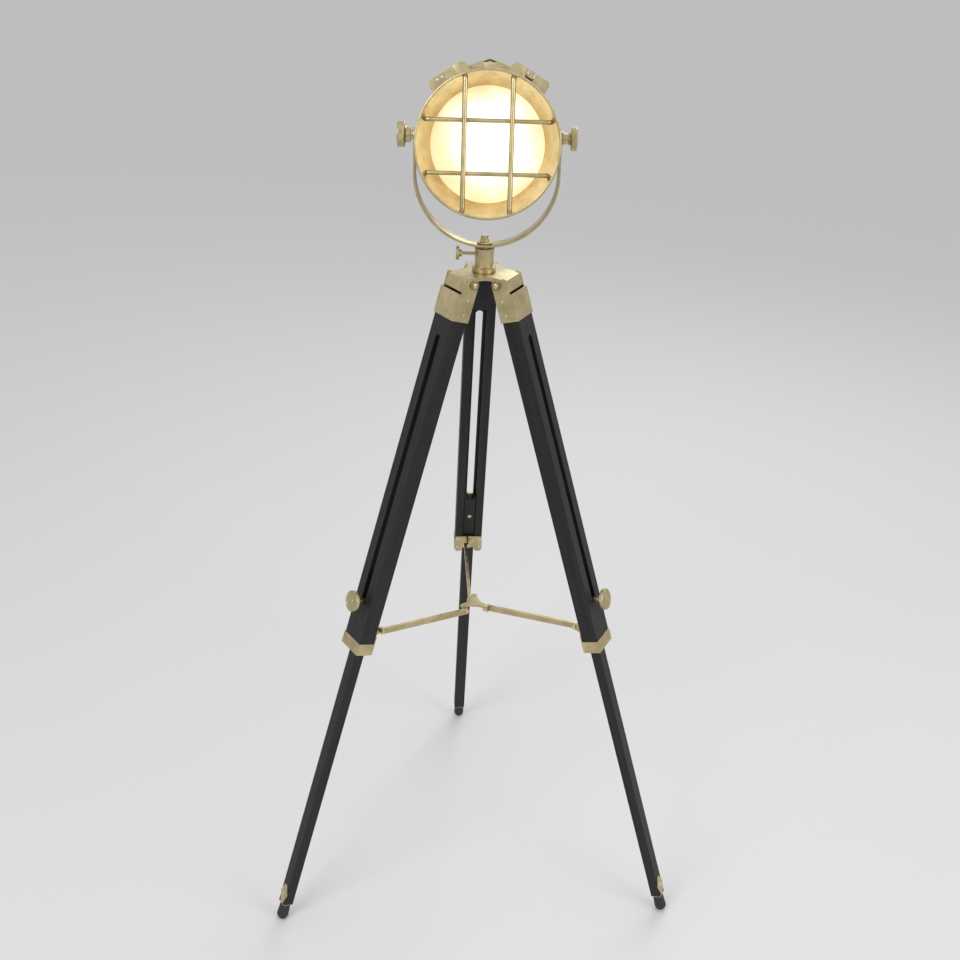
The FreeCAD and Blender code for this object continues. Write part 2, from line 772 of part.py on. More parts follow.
def build_lock_screw():
    """Thumb screw that presses on the stud's groove."""
    screw = turned("pan_lock_screw", "z", TRIPOD + (move("0", "0", "lock_height"), turn(AXIS_Y, "-90")), [
        ("stud_radius - stud_groove + face_clearance", "0"),
        ("stud_radius - stud_groove + face_clearance", "lock_stem_radius"),
        ("lock_disc_reach - lock_disc_thick - lock_hub_long", "lock_stem_radius"),
        ("lock_disc_reach - lock_disc_thick - lock_hub_long", "lock_hub_radius"),
        ("lock_disc_reach - lock_disc_thick", "lock_hub_radius"),
        ("lock_disc_reach - lock_disc_thick", "lock_disc_radius"),
        ("lock_disc_reach - 1", "lock_disc_radius"),
        ("lock_disc_reach", "lock_disc_radius - 1"), ("lock_disc_reach", "0")])
    knurl(screw, "lock_disc_radius", "lock_disc_reach", "lock_disc_thick")


# ---------------------------------------------------------------- head
def build_barrel():
    """Drum with a front flange, a rounded rear corner, two trunnion bosses and vents on top."""
    body = turned("barrel", "y", BARREL, [
        ("barrel_front", "barrel_flange_bore"), ("flange_back", "barrel_flange_bore"),
        ("flange_back", "barrel_radius - barrel_wall"),
        ("barrel_rear - barrel_corner", "barrel_radius - barrel_wall", "-(barrel_corner - barrel_wall)"),
        ("barrel_rear - barrel_wall", "barrel_radius - barrel_corner"),
        ("barrel_rear - barrel_wall", "barrel_rear_bore"), ("barrel_rear", "barrel_rear_bore"),
        ("barrel_rear", "barrel_radius - barrel_corner", "barrel_corner"),
        ("barrel_rear - barrel_corner", "barrel_radius"), ("flange_back", "barrel_radius"),
        ("flange_back", "barrel_flange_radius"), ("barrel_front", "barrel_flange_radius")])
    boss_disc = ("0", "barrel_drop", "trunnion_boss_radius")
    boss = pad(body, circles(sketch_on(body, "YZ_Plane", "barrel_radius + trunnion_boss_long"), boss_disc),
               "trunnion_boss_long + trunnion_boss_root", back=True)
    reflect(body, [boss], "YZ_Plane")
    cut(body, circles(sketch_on(body, "YZ_Plane"), ("0", "barrel_drop", "trunnion_radius")), THROUGH,
        both=True)
    cut(body, circles(sketch_on(body, "XZ_Plane"), ("0", "-gland_drop", "gland_neck_radius + pin_clearance")),
        THROUGH)
    for row in (-1, 0, 1):
        centre = f"({row}) * vent_pitch"
        cut(body, outline(sketch_on(body, "XY_Plane"), box_outline(
            "-vent_long / 2", "vent_long / 2", f"{centre} - vent_wide / 2", f"{centre} + vent_wide / 2")),
            "barrel_radius * 1.1", back=True)
    return body


def build_vent_hood():
    """Peaked sheet hood over the vents; each gable is closed up to a small gap under the peak."""
    body = new_body("vent_hood", *BARREL)
    eave = "hood_under - hood_inner * tan(hood_slope)"
    pad(body, outline(sketch_on(body, "XZ_Plane"), [
        ("-hood_half_width", "hood_foot"), ("-hood_inner", "hood_foot"), ("-hood_inner", eave),
        ("0", "hood_under"), ("hood_inner", eave), ("hood_inner", "hood_foot"),
        ("hood_half_width", "hood_foot"), ("hood_half_width", "hood_eave"), ("0", "hood_peak"),
        ("-hood_half_width", "hood_eave")]), "hood_long", both=True)
    vent_sill = "hood_under - hood_vent_half * tan(hood_slope)"
    gable = pad(body, outline(sketch_on(body, "XZ_Plane", "hood_long / 2"), [
        ("-hood_inner", "hood_foot", "-barrel_radius"), ("hood_inner", "hood_foot"), ("hood_inner", eave),
        ("hood_vent_half", vent_sill), ("-hood_vent_half", vent_sill), ("-hood_inner", eave)]),
        "hood_sheet", back=True)
    reflect(body, [gable], "XZ_Plane")


def build_rear():
    """Vented cowl with a bevelled edge on the drum's rear, and the gland for the cord."""
    cowl = turned("rear_cowl", "z", BARREL + (turn(AXIS_X, "-90"),), [
        ("barrel_rear", "cowl_radius - cowl_wall"), ("barrel_rear", "cowl_radius"),
        ("barrel_rear + cowl_deep - cowl_corner", "cowl_radius"),
        ("barrel_rear + cowl_deep", "cowl_radius - cowl_corner"), ("barrel_rear + cowl_deep", "0"),
        ("barrel_rear + cowl_deep - cowl_wall", "0"),
        ("barrel_rear + cowl_deep - cowl_wall", "cowl_radius - cowl_corner"),
        ("barrel_rear + cowl_deep - cowl_corner", "cowl_radius - cowl_wall")])
    hole = cut(cowl, circles(sketch_on(cowl, "XY_Plane", "barrel_rear + cowl_deep + 1"),
                             ("cowl_hole_circle", "0", "cowl_hole_radius")), "cowl_wall + 2")
    repeat(cowl, [hole], "cowl_holes")
    turned("cable_gland", "z", BARREL + (move("0", "0", "-gland_drop"), turn(AXIS_X, "-90")), [
        ("barrel_rear - barrel_wall", "gland_bore_radius"),
        ("barrel_rear - barrel_wall", "gland_neck_radius"),
        ("barrel_rear", "gland_neck_radius"), ("barrel_rear", "gland_radius"),
        ("barrel_rear + gland_nut_long", "gland_radius"),
        ("barrel_rear + gland_nut_long", "gland_neck_radius"),
        ("barrel_rear + gland_nut_long + gland_neck_long", "gland_neck_radius"),
        ("barrel_rear + gland_nut_long + gland_neck_long", "gland_bore_radius")])


def build_light():
    """Reflector, lamp holder and bulb, on the drum's axis."""
    turned("reflector", "y", BARREL, [
        ("flange_back", "reflector_rim_radius"),
        ("flange_back", "reflector_mouth_radius", "-reflector_curve"),
        ("reflector_neck_rear", "reflector_neck_radius"),
        ("reflector_neck_rear + reflector_sheet", "reflector_neck_radius",
         "reflector_curve + reflector_sheet"),
        ("flange_back + reflector_sheet", "reflector_mouth_radius + reflector_sheet"),
        ("flange_back + reflector_sheet", "reflector_rim_radius")])
    turned("lamp_holder", "y", BARREL, [
        ("holder_front", "holder_bore_radius"), ("holder_front", "holder_radius"),
        ("barrel_rear - barrel_wall - holder_flange_thick", "holder_radius"),
        ("barrel_rear - barrel_wall - holder_flange_thick", "holder_flange_radius"),
        ("barrel_rear - barrel_wall", "holder_flange_radius"), ("barrel_rear - barrel_wall", "0"),
        ("holder_front + holder_bore_deep", "0"), ("holder_front + holder_bore_deep", "holder_bore_radius")])
    turned("bulb_glass", "y", BARREL, [
        ("-bulb_centre - bulb_radius", "0", "-bulb_radius"),
        ("-bulb_centre", "bulb_radius", "-bulb_radius * 1.5"),
        ("bulb_neck_rear", "bulb_neck_radius"), ("bulb_neck_rear", "0")])
    turned("bulb_cap", "y", BARREL, [
        ("bulb_neck_rear", "0"), ("bulb_neck_rear", "bulb_cap_radius"),
        ("bulb_neck_rear + bulb_cap_long - 4", "bulb_cap_radius"),
        ("bulb_neck_rear + bulb_cap_long", "bulb_cap_radius - 6"), ("bulb_neck_rear + bulb_cap_long", "0")])


def build_trunnions():
    """Two studs screwed into the drum's bosses; the yoke swings on them."""
    body = new_body("trunnion_studs", *BARREL)
    stud = pad(body, circles(sketch_on(body, "YZ_Plane", "barrel_radius - trunnion_boss_root"),
                             ("0", "barrel_drop", "trunnion_radius")),
               "knob_start + knob_bore_deep - face_clearance - barrel_radius + trunnion_boss_root")
    reflect(body, [stud], "YZ_Plane")


def build_tilt_knobs():
    """Two knurled knobs that clamp the yoke against the drum's bosses."""
    bore = "trunnion_radius + pin_clearance"
    bore_end = "knob_start + knob_bore_deep"
    frame = BARREL + (move("0", "0", "barrel_drop"),)
    wide = turned("tilt_knob_left", "z", frame + (turn(AXIS_Y, "-90"),), [
        ("knob_start", bore), ("knob_start", "knob_neck_radius"), ("knob_neck_end", "knob_neck_radius"),
        ("knob_neck_end", "knob_hub_radius"), ("knob_hub_end - 2", "knob_hub_radius"),
        ("knob_hub_end", "knob_hub_radius + 2"), ("knob_hub_end", "knob_disc_radius - knob_edge_round"),
        ("knob_hub_end + knob_edge_round", "knob_disc_radius"),
        ("knob_disc_end - knob_edge_round", "knob_disc_radius"),
        ("knob_disc_end", "knob_disc_radius - knob_edge_round"), ("knob_disc_end", "0"), (bore_end, "0"),
        (bore_end, bore)])
    knurl(wide, "knob_disc_radius", "knob_disc_end", "knob_disc_thick")
    slim = turned("tilt_knob_right", "z", frame + (turn(AXIS_Y, "90"),), [
        ("knob_start", bore), ("knob_start", "slim_flange_radius"), ("slim_flange_end", "slim_flange_radius"),
        ("slim_flange_end", "slim_neck_radius"), ("slim_neck_end - 4", "slim_neck_radius"),
        ("slim_neck_end", "slim_neck_radius + 3"), ("slim_neck_end", "slim_disc_radius - knob_edge_round"),
        ("slim_neck_end + knob_edge_round", "slim_disc_radius"),
        ("slim_disc_end - knob_edge_round", "slim_disc_radius"),
        ("slim_disc_end", "slim_disc_radius - knob_edge_round"), ("slim_disc_end", "0"), (bore_end, "0"),
        (bore_end, bore)])
    knurl(slim, "slim_disc_radius", "slim_disc_end", "slim_disc_thick")


# ---------------------------------------------------------------- front ring
def guard_bar(body, role, lift, centre, reach, plane, radius, root):
    """One round bar whose bent ends run back into the ring; role is the plane that it lies in."""
    spine = sketch_on(body, role, lift)
    flat = [(f"-({root})", f"-({reach})"), (f"-({plane}) + guard_bend", f"-({reach})", "-guard_bend"),
            (f"-({plane})", f"-({reach}) + guard_bend"),
            (f"-({plane})", f"{reach} - guard_bend", "-guard_bend"),
            (f"-({plane}) + guard_bend", reach), (f"-({root})", reach)]
    if role == "XY_Plane":
        flat = [(y, x) + tuple(f"-({bend})" for bend in rest) for x, y, *rest in flat]
    outline(spine, flat, closed=False)
    start = (centre, f"-({reach})") if role == "YZ_Plane" else (f"-({reach})", centre)
    ring = circles(sketch_on(body, "XZ_Plane", root), (*start, radius))
    DOC.recompute()
    bar = body.newObject("PartDesign::AdditivePipe", "AdditivePipe")
    bar.Profile = ring
    bar.Spine = (spine, [f"Edge{index + 1}" for index in range(len(spine.Shape.Edges))])
    DOC.recompute()
    return bar


GUARD_POST_ROOT = "guard_post_plane - guard_root - guard_bend"
GUARD_RAIL_ROOT = "guard_rail_plane - guard_root - guard_bend / 2"
GUARD_RAILS = ("guard_rail_upper", "-guard_rail_lower")


def rail_reach(level):
    """Half the length of the level bar that crosses the ring at a height."""
    return f"sqrt(guard_rail_circle ^ 2 - ({level}) ^ 2)"


def build_front_ring():
    """Turned ring: thin lip, cone down to the glass, and a pocket for glass and gasket."""
    body = turned("front_ring", "y", BARREL, [
        ("-ring_rear", "ring_seat_radius"), ("-glass_front", "ring_seat_radius"),
        ("-glass_front", "ring_throat_radius"), ("-glass_front - ring_throat_land", "ring_throat_radius"),
        ("-ring_front", "ring_lip_radius"),
        ("-ring_front", "ring_radius - ring_lip_round", "-ring_lip_round"),
        ("-ring_front + ring_lip_round", "ring_radius"), ("-ring_rear", "ring_radius")])
    bore = "guard_post_radius + guard_hole_clear"
    posts = [(f"{side} * guard_post_offset", f"{end} * guard_post_reach", bore)
             for side in ("-1", "1") for end in ("-1", "1")]
    cut(body, circles(sketch_on(body, "XZ_Plane", GUARD_POST_ROOT), *posts), "ring_front", back=True)
    rails = [(f"{side} * {rail_reach(level)}", level, "guard_rail_radius + guard_hole_clear")
             for side in ("-1", "1") for level in GUARD_RAILS]
    cut(body, circles(sketch_on(body, "XZ_Plane", GUARD_RAIL_ROOT), *rails), "ring_front", back=True)


def build_guard():
    """Two upright bars welded in front of two level bars."""
    body = new_body("guard_grille", *BARREL)
    post = guard_bar(body, "YZ_Plane", "guard_post_offset", "guard_post_offset", "guard_post_reach",
                     "guard_post_plane", "guard_post_radius", GUARD_POST_ROOT)
    reflect(body, [post], "YZ_Plane")
    for level in GUARD_RAILS:
        guard_bar(body, "XY_Plane", level, level, rail_reach(level), "guard_rail_plane", "guard_rail_radius",
                  GUARD_RAIL_ROOT)


def build_glass():
    """Glass disc and the gasket that holds it in the ring's pocket."""
    turned("glass_lens", "y", BARREL, [
        ("-glass_front", "0"), ("-glass_front", "ring_seat_radius"),
        ("-glass_front + glass_thick", "ring_seat_radius"), ("-glass_front + glass_thick", "0")])
    turned("lens_gasket", "y", BARREL, [
        ("-glass_front + glass_thick", "gasket_bore_radius"),
        ("-glass_front + glass_thick", "ring_seat_radius"),
        ("-ring_rear", "ring_seat_radius"), ("-ring_rear", "gasket_bore_radius")])


def rim_plate(body, side, back, notched):
    """Plate on the ring's rim; the side with the rounded tab is free of the bar over its front."""
    low_end = [("-leaf_half_long + leaf_corner", "leaf_top", "leaf_corner"),
               ("-leaf_half_long", "leaf_top - leaf_corner"),
               ("-leaf_half_long", "leaf_floor", "-ring_radius")]
    notch = [("clasp_notch_half", "leaf_top"), ("clasp_notch_half", "clasp_notch_floor"),
             ("-clasp_notch_half", "clasp_notch_floor"), ("-clasp_notch_half", "leaf_top")]
    rest = (notch if notched else []) + low_end
    tab = [("leaf_half_long", "leaf_floor"),
           ("leaf_half_long", "leaf_top - leaf_tab_round", "leaf_tab_round"),
           ("leaf_half_long - leaf_tab_round", "leaf_top")]
    bar = [("leaf_bar_end", "sqrt(ring_radius ^ 2 - leaf_bar_end ^ 2)"), ("leaf_bar_end", "leaf_top")]
    steps = ((tab, back, "leaf_thick"), (bar, f"{back} + leaf_thick", "leaf_bar_thick"))
    for end, lift, thick in steps:
        corners = [(f"{side} * ({x})", level, *(f"{side} * ({bend})" for bend in bends))
                   for x, level, *bends in end + rest]
        pad(body, outline(sketch_on(body, "XZ_Plane", lift), corners), thick)


def build_ring_hinge():
    """Leaf on the ring and block on the drum, joined by a pin that runs along the rim."""
    leaf = new_body("hinge_leaf", *HINGE_SIDE)
    rim_plate(leaf, "1", "ring_rear", False)
    pin = ("-door_pin_back", "door_pin_out")
    pad(leaf, circles(sketch_on(leaf, "YZ_Plane"), (*pin, "door_knuckle_radius")), "leaf_knuckle_long",
        both=True)
    pad(leaf, outline(sketch_on(leaf, "YZ_Plane"), box_outline(
        "-ring_rear - 1", "-door_pin_back", "door_pin_out - door_knuckle_radius", "door_pin_out")),
        "leaf_knuckle_long", both=True)
    cut(leaf, circles(sketch_on(leaf, "YZ_Plane"), (*pin, "door_pin_radius + pin_clearance")),
        "leaf_knuckle_long * 2", both=True)
    screw_out = "(leaf_top + ring_radius) / 2"
    domes(leaf, "XZ_Plane", "ring_rear + leaf_thick + leaf_bar_thick", "leaf_screw_high",
          [(f"-leaf_screw_gap * {step}", screw_out, "leaf_screw_radius") for step in ("2", "1")])
    block = new_body("hinge_block", *HINGE_SIDE)
    front = "-door_pin_back - 0.5"
    pad(block, outline(sketch_on(block, "YZ_Plane"), [
        (front, "barrel_radius * 0.9"), (f"{front} + block_long", "barrel_radius * 0.9"),
        (f"{front} + block_long", "barrel_radius + block_step"),
        ("-door_pin_back + door_knuckle_radius", "door_pin_out"),
        (front, "door_pin_out")]), "2 * block_half_long", both=True)
    pad(block, circles(sketch_on(block, "YZ_Plane"), (*pin, "door_knuckle_radius")), "2 * block_half_long",
        both=True)
    gap = "leaf_knuckle_long / 2 + face_clearance"
    cut(block, outline(sketch_on(block, "XZ_Plane"), box_outline(
        f"-({gap})", gap, "door_pin_out - 2 * door_knuckle_radius",
        "door_pin_out + 2 * door_knuckle_radius")),
        THROUGH, both=True)
    pad(block, circles(sketch_on(block, "YZ_Plane"), (*pin, "door_pin_radius")), "2 * block_half_long",
        both=True)
    cut(block, circles(sketch_on(block, "XZ_Plane"), ("0", "0", "barrel_radius")), THROUGH, both=True)


def build_clasp():
    """Notched plate on the ring, bracket on the drum and the lever that drops into the notch."""
    rim_plate(new_body("clasp_plate", *CLASP_SIDE), "-1", "clasp_plate_back", True)
    bracket = new_body("clasp_bracket", *CLASP_SIDE)
    ear = "clasp_notch_half + clasp_ear_thick"
    pin = ("-clasp_pin_back", "clasp_pin_out")
    pad(bracket, outline(sketch_on(bracket, "YZ_Plane"), [
        ("-clasp_pin_back - clasp_ear_radius", "barrel_radius * 0.9"),
        ("-clasp_pin_back + clasp_ear_radius", "barrel_radius * 0.9"),
        ("-clasp_pin_back + clasp_ear_radius", "clasp_pin_out", "clasp_ear_radius"),
        ("-clasp_pin_back", "clasp_pin_out + clasp_ear_radius", "clasp_ear_radius"),
        ("-clasp_pin_back - clasp_ear_radius", "clasp_pin_out")]), f"2 * ({ear})", both=True)
    cut(bracket, outline(sketch_on(bracket, "XZ_Plane"), box_outline(
        "-clasp_notch_half", "clasp_notch_half", "clasp_pin_out - clasp_ear_radius - face_clearance",
        "clasp_pin_out + 2 * clasp_ear_radius")), THROUGH, both=True)
    pad(bracket, circles(sketch_on(bracket, "YZ_Plane"), (*pin, "door_pin_radius")), f"2 * ({ear})",
        both=True)
    cut(bracket, circles(sketch_on(bracket, "XZ_Plane"), ("0", "0", "barrel_radius")), THROUGH, both=True)
    lever = new_body("clasp_lever", *CLASP_SIDE)
    tip_back, tip_front = "-clasp_plate_back", "-clasp_plate_back - leaf_thick"
    low = "clasp_pin_out - clasp_bar_thick / 2"
    pad(lever, outline(sketch_on(lever, "YZ_Plane"), [
        (tip_front, low), ("-clasp_pin_back", low), ("-clasp_pin_back", f"{low} + clasp_bar_thick"),
        (tip_back, f"{low} + clasp_bar_thick"), (tip_back, "clasp_tab_top"), (tip_front, "clasp_tab_top")]),
        "2 * (clasp_notch_half - clasp_side_play)", both=True)
    pad(lever, circles(sketch_on(lever, "YZ_Plane"), (*pin, "clasp_ear_radius * 0.8")),
        "2 * (clasp_notch_half - face_clearance)", both=True)
    cut(lever, circles(sketch_on(lever, "YZ_Plane"), (*pin, "door_pin_radius + pin_clearance")),
        "clasp_notch_half * 4", both=True)


# ---------------------------------------------------------------- legs
def build_cap(name, frame):
    """Folded sheet cap: an outer plate and two side plates with ears for the hinge bolt."""
    body = new_body(name, *frame)
    side = pad(body, outline(sketch_on(body, "XZ_Plane", "arm_width / 2"), [
        ("-ear_radius", "-cap_foot"), ("wood_outer + cap_wall", "-cap_foot"),
        ("wood_outer + cap_wall", "-cap_brow"), ("ear_outer", "-cap_brow"),
        ("ear_outer", "ear_radius - ear_corner", "ear_corner"), ("ear_outer - ear_corner", "ear_radius"),
        ("0", "ear_radius", "ear_radius"), ("-ear_radius", "0")]), "cap_wall")
    reflect(body, [side], "XZ_Plane")
    pad(body, outline(sketch_on(body, "YZ_Plane", "wood_outer"), box_outline(
        "-arm_width / 2 - cap_wall", "arm_width / 2 + cap_wall", "-cap_foot", "-cap_brow")), "cap_wall")
    cut(body, circles(sketch_on(body, "XZ_Plane"), ("0", "0", "bolt_radius + pin_clearance")), THROUGH,
        both=True)
    spots = [("cap_screw_back", f"-cap_screw_{row}", "cap_screw_radius") for row in ("upper", "lower")]
    domes(body, "XZ_Plane", "arm_width / 2 + cap_wall", "cap_screw_high", spots)
    domes(body, "XZ_Plane", "-arm_width / 2 - cap_wall", "cap_screw_high", spots, back=True)


def build_upper_leg(name, frame):
    """Wooden leg: a channel open towards the middle and a long slot through its web."""
    body = new_body(name, *frame)
    pad(body, outline(sketch_on(body, "XY_Plane", "wood_head"), box_outline(
        "wood_inner", "wood_outer", "-wood_width / 2", "wood_width / 2")), "wood_foot + wood_head", back=True)
    soften(body, "Chamfer", "wood_chamfer", lambda edge, middle: along(edge, VECTOR(0, 0, 1)))
    cut(body, outline(sketch_on(body, "XY_Plane", "-channel_top"), box_outline(
        "wood_inner - 1", "channel_floor", "-channel_width / 2", "channel_width / 2")), "wood_foot")
    half = "slot_width / 2"
    cut(body, outline(sketch_on(body, "YZ_Plane", "wood_outer + 1"), [
        (f"-{half}", f"-slot_end + {half}", half), ("0", "-slot_end", half), (half, f"-slot_end + {half}"),
        (half, f"-slot_top - {half}", half), ("0", "-slot_top", half), (f"-{half}", f"-slot_top - {half}")]),
        "wood_web + 2")


def build_collar(name, frame):
    """Sheet collar around the leg's outer face and sides."""
    body = new_body(name, *frame)
    half, wall = "wood_width / 2", "collar_wall"
    pad(body, outline(sketch_on(body, "XY_Plane", "-collar_foot"), [
        ("wood_inner", f"-{half} - {wall}"), (f"wood_outer + {wall}", f"-{half} - {wall}"),
        (f"wood_outer + {wall}", f"{half} + {wall}"), ("wood_inner", f"{half} + {wall}"),
        ("wood_inner", half), ("wood_outer", half), ("wood_outer", f"-{half}"), ("wood_inner", f"-{half}")]),
        "collar_high")


def build_bracket(name, frame):
    """Inner plate with two lobes, a ring, screws and the lug that carries the brace."""
    body = new_body(name, *frame)
    half, corner = "wood_width / 2", "bracket_corner"
    pad(body, outline(sketch_on(body, "YZ_Plane", "wood_inner"), [
        (f"-{half}", f"-bracket_foot + {corner}", corner), (f"-{half} + {corner}", "-bracket_foot"),
        (f"-bracket_notch_half - {corner}", "-bracket_foot", corner),
        ("-bracket_notch_half", f"-bracket_foot + {corner}"), ("-bracket_notch_half", "-bracket_notch_floor"),
        ("bracket_notch_half", "-bracket_notch_floor"),
        ("bracket_notch_half", f"-bracket_foot + {corner}", corner),
        (f"bracket_notch_half + {corner}", "-bracket_foot"), (f"{half} - {corner}", "-bracket_foot", corner),
        (half, f"-bracket_foot + {corner}"), (half, f"-bracket_top - {corner}", corner),
        (f"{half} - {corner}", "-bracket_top"), (f"-{half} + {corner}", "-bracket_top", corner),
        (f"-{half}", f"-bracket_top - {corner}")]), "bracket_thick", back=True)
    face = "wood_inner - bracket_thick"
    spots = [(f"{side} * bracket_screw_side", f"-bracket_screw_{row}", "bracket_screw_radius")
             for side in ("-1", "1") for row in ("upper", "lower")]
    domes(body, "YZ_Plane", face, "bracket_screw_high", spots, back=True)
    lug_near = "brace_lateral - face_clearance"
    lug_far = f"{lug_near} - lug_thick"
    pin_x, pin_z = "-brace_pin_in", "-brace_pin_height"
    pad(body, outline(sketch_on(body, "XZ_Plane", f"-({lug_far})"), [
        (face, "-lug_root_foot"), (face, f"{pin_z} + lug_radius"),
        (pin_x, f"{pin_z} + lug_radius", "lug_radius"), (f"{pin_x} - lug_radius", pin_z, "lug_radius"),
        (pin_x, f"{pin_z} - lug_radius")]), "lug_thick", back=True)
    pad(body, circles(sketch_on(body, "XZ_Plane", f"-({lug_near})"), (pin_x, pin_z, "brace_pin_radius")),
        "brace_wide + 2 * face_clearance", back=True)
    domes(body, "XZ_Plane", f"-({lug_near} + brace_wide + 2 * face_clearance)", "rivet_dome_high",
          [(pin_x, pin_z, "rivet_dome_radius")], back=True)
    domes(body, "XZ_Plane", f"-({lug_far})", "rivet_dome_high", [(pin_x, pin_z, "rivet_dome_radius")])
    domes(body, "YZ_Plane", face, "bracket_screw_high * 1.5",
          [("-bracket_ring_radius - 1", "-bracket_ring_height", "bracket_ring_radius")], back=True)


def build_lower_leg(name, frame):
    """Wooden slide with a notched top; the clamp bolt goes through it."""
    body = new_body(name, *frame)
    pad(body, outline(sketch_on(body, "XY_Plane", "-lower_top"), box_outline(
        "lower_inner", "lower_outer", "-lower_width / 2", "lower_width / 2")), "-lower_top - lower_foot",
        back=True)
    soften(body, "Chamfer", "wood_chamfer / 2", lambda edge, middle: along(edge, VECTOR(0, 0, 1)))
    cut(body, circles(sketch_on(body, "YZ_Plane"), ("0", "-lower_top", "lower_notch_radius")), THROUGH,
        both=True)
    bolt = ("0", "-clamp_height", "clamp_bolt_radius + pin_clearance")
    cut(body, circles(sketch_on(body, "YZ_Plane"), bolt),
        THROUGH, both=True)


def build_clamp_knob(name, frame):
    """Through bolt with a sleeve, a hub and a knurled disc."""
    start = "wood_outer"
    knob = turned(name, "z", frame + (move("0", "0", "-clamp_height"), turn(AXIS_Y, "90")), [
        ("lower_inner - clamp_tail", "0"), ("lower_inner - clamp_tail", "clamp_bolt_radius"),
        (f"{start} + face_clearance", "clamp_bolt_radius"),
        (f"{start} + face_clearance", "clamp_sleeve_radius"),
        (f"{start} + clamp_hub_start", "clamp_sleeve_radius"),
        (f"{start} + clamp_hub_start", "clamp_hub_radius"),
        (f"{start} + clamp_disc_start", "clamp_hub_radius"),
        (f"{start} + clamp_disc_start", "clamp_disc_radius - 1"),
        (f"{start} + clamp_disc_start + 1", "clamp_disc_radius"),
        (f"{start} + clamp_disc_start + clamp_disc_thick - 1", "clamp_disc_radius"),
        (f"{start} + clamp_disc_start + clamp_disc_thick", "clamp_disc_radius - 1"),
        (f"{start} + clamp_disc_start + clamp_disc_thick", "0")])
    knurl(knob, "clamp_disc_radius", f"{start} + clamp_disc_start + clamp_disc_thick", "clamp_disc_thick")


def build_foot(leg, frame):
    """Spade plate folded under the leg, and the rubber foot that ends in a ball."""
    plate = new_body(f"foot_plate_{leg}", *frame)
    foot = "lower_foot"
    fold = "lower_foot - foot_sheet"
    pad(plate, outline(sketch_on(plate, "YZ_Plane", "lower_outer"), [
        ("-spade_tip_half", fold), ("spade_tip_half", fold), ("spade_half_width", f"{foot} + spade_shoulder"),
        ("spade_tip_half", f"{foot} + spade_high"), ("-spade_tip_half", f"{foot} + spade_high"),
        ("-spade_half_width", f"{foot} + spade_shoulder")]), "foot_sheet")
    soften(plate, "Fillet", "spade_tip_half", lambda edge, middle: along(edge, VECTOR(1, 0, 0))
           and (abs(middle.y) > number("spade_half_width * 0.9")
                or middle.z > number("lower_foot + spade_point")))
    pad(plate, outline(sketch_on(plate, "XY_Plane", fold), box_outline(
        "lower_inner", "lower_outer + foot_sheet", "-lower_width / 2", "lower_width / 2")), "foot_sheet")
    domes(plate, "YZ_Plane", "lower_outer + foot_sheet", "spade_screw_high",
          [("0", f"{foot} + spade_screw_height", "spade_screw_radius")])
    turned(f"rubber_foot_{leg}", "z", frame + (move("lower_centre", "0", "foot_ball_height"),), [
        ("-foot_ball_radius", "0", "-foot_ball_radius"), ("0", "foot_ball_radius"),
        ("foot_gap", "foot_top_radius"), ("foot_gap", "0")])


# ---------------------------------------------------------------- braces
def build_brace_arm(name, angle):
    """Folded channel from the leg's lug to the spider, with its rivet at the spider end."""
    body = new_body(name, *TRIPOD, turn(AXIS_Z, angle), move("brace_pin_radial", "0", "brace_pin_level"),
                    turn(AXIS_Z, "180"), turn(AXIS_Y, "brace_slope"))
    near, far = "brace_lateral", "brace_lateral + brace_wide"
    half = "brace_high / 2"
    pad(body, outline(sketch_on(body, "XZ_Plane", near), [
        ("0", f"-{half}"), ("brace_length", f"-{half}", half), (f"brace_length + {half}", "0", half),
        ("brace_length", half), ("0", half, half), (f"-{half}", "0", half)]), "brace_wide")
    cut(body, outline(sketch_on(body, "XZ_Plane", "brace_lateral + brace_sheet"), box_outline(
        f"-{half} - 1", f"brace_length + {half} + 1", f"-{half} - 1", f"{half} - brace_sheet")),
        "brace_wide - 2 * brace_sheet", back=True)
    cut(body, circles(sketch_on(body, "XZ_Plane", near), ("0", "0", "brace_pin_radius + pin_clearance")),
        "brace_wide * 3", both=True)
    pad(body, circles(sketch_on(body, "XZ_Plane", near), ("brace_length", "0", "brace_pin_radius")),
        "brace_wide")
    domes(body, "XZ_Plane", far, "rivet_dome_high", [("brace_length", "0", "rivet_dome_radius")])


def build_spider():
    """Three-lobed plate with an ear under each lobe; the sides between the lobes are hollow arcs."""
    body = new_body("brace_hub", *TRIPOD, move("0", "0", "spider_level"), turn(AXIS_Z, "rear_angle"))
    floor = "brace_high / 2 + spider_clear"
    lobe = [("spider_waist_end", "-spider_lobe_free"),
            ("spider_lobe_reach - spider_lobe_round", "-spider_lobe_free", "spider_lobe_round"),
            ("spider_lobe_reach", "spider_lobe_round - spider_lobe_free"),
            ("spider_lobe_reach", "spider_lobe_half - spider_lobe_round", "spider_lobe_round"),
            ("spider_lobe_reach - spider_lobe_round", "spider_lobe_half"),
            ("spider_waist_start", "spider_lobe_half", "-spider_waist_bend")]
    pad(body, outline(sketch_on(body, "XY_Plane", floor), three_times(lobe)), "spider_plate")
    lug_far = "brace_lateral - face_clearance - lug_thick"
    ear = pad(body, outline(sketch_on(body, "XZ_Plane", f"-({lug_far})"), box_outline(
        "spider_pin_circle - spider_ear_half", "spider_pin_circle + spider_ear_half", "-spider_ear_half",
        floor)),
        "lug_thick", back=True)
    rivet = domes(body, "XZ_Plane", f"-({lug_far})", "rivet_dome_high",
                  [("spider_pin_circle", "0", "rivet_dome_radius")])
    repeat(body, [ear, rivet], "3")


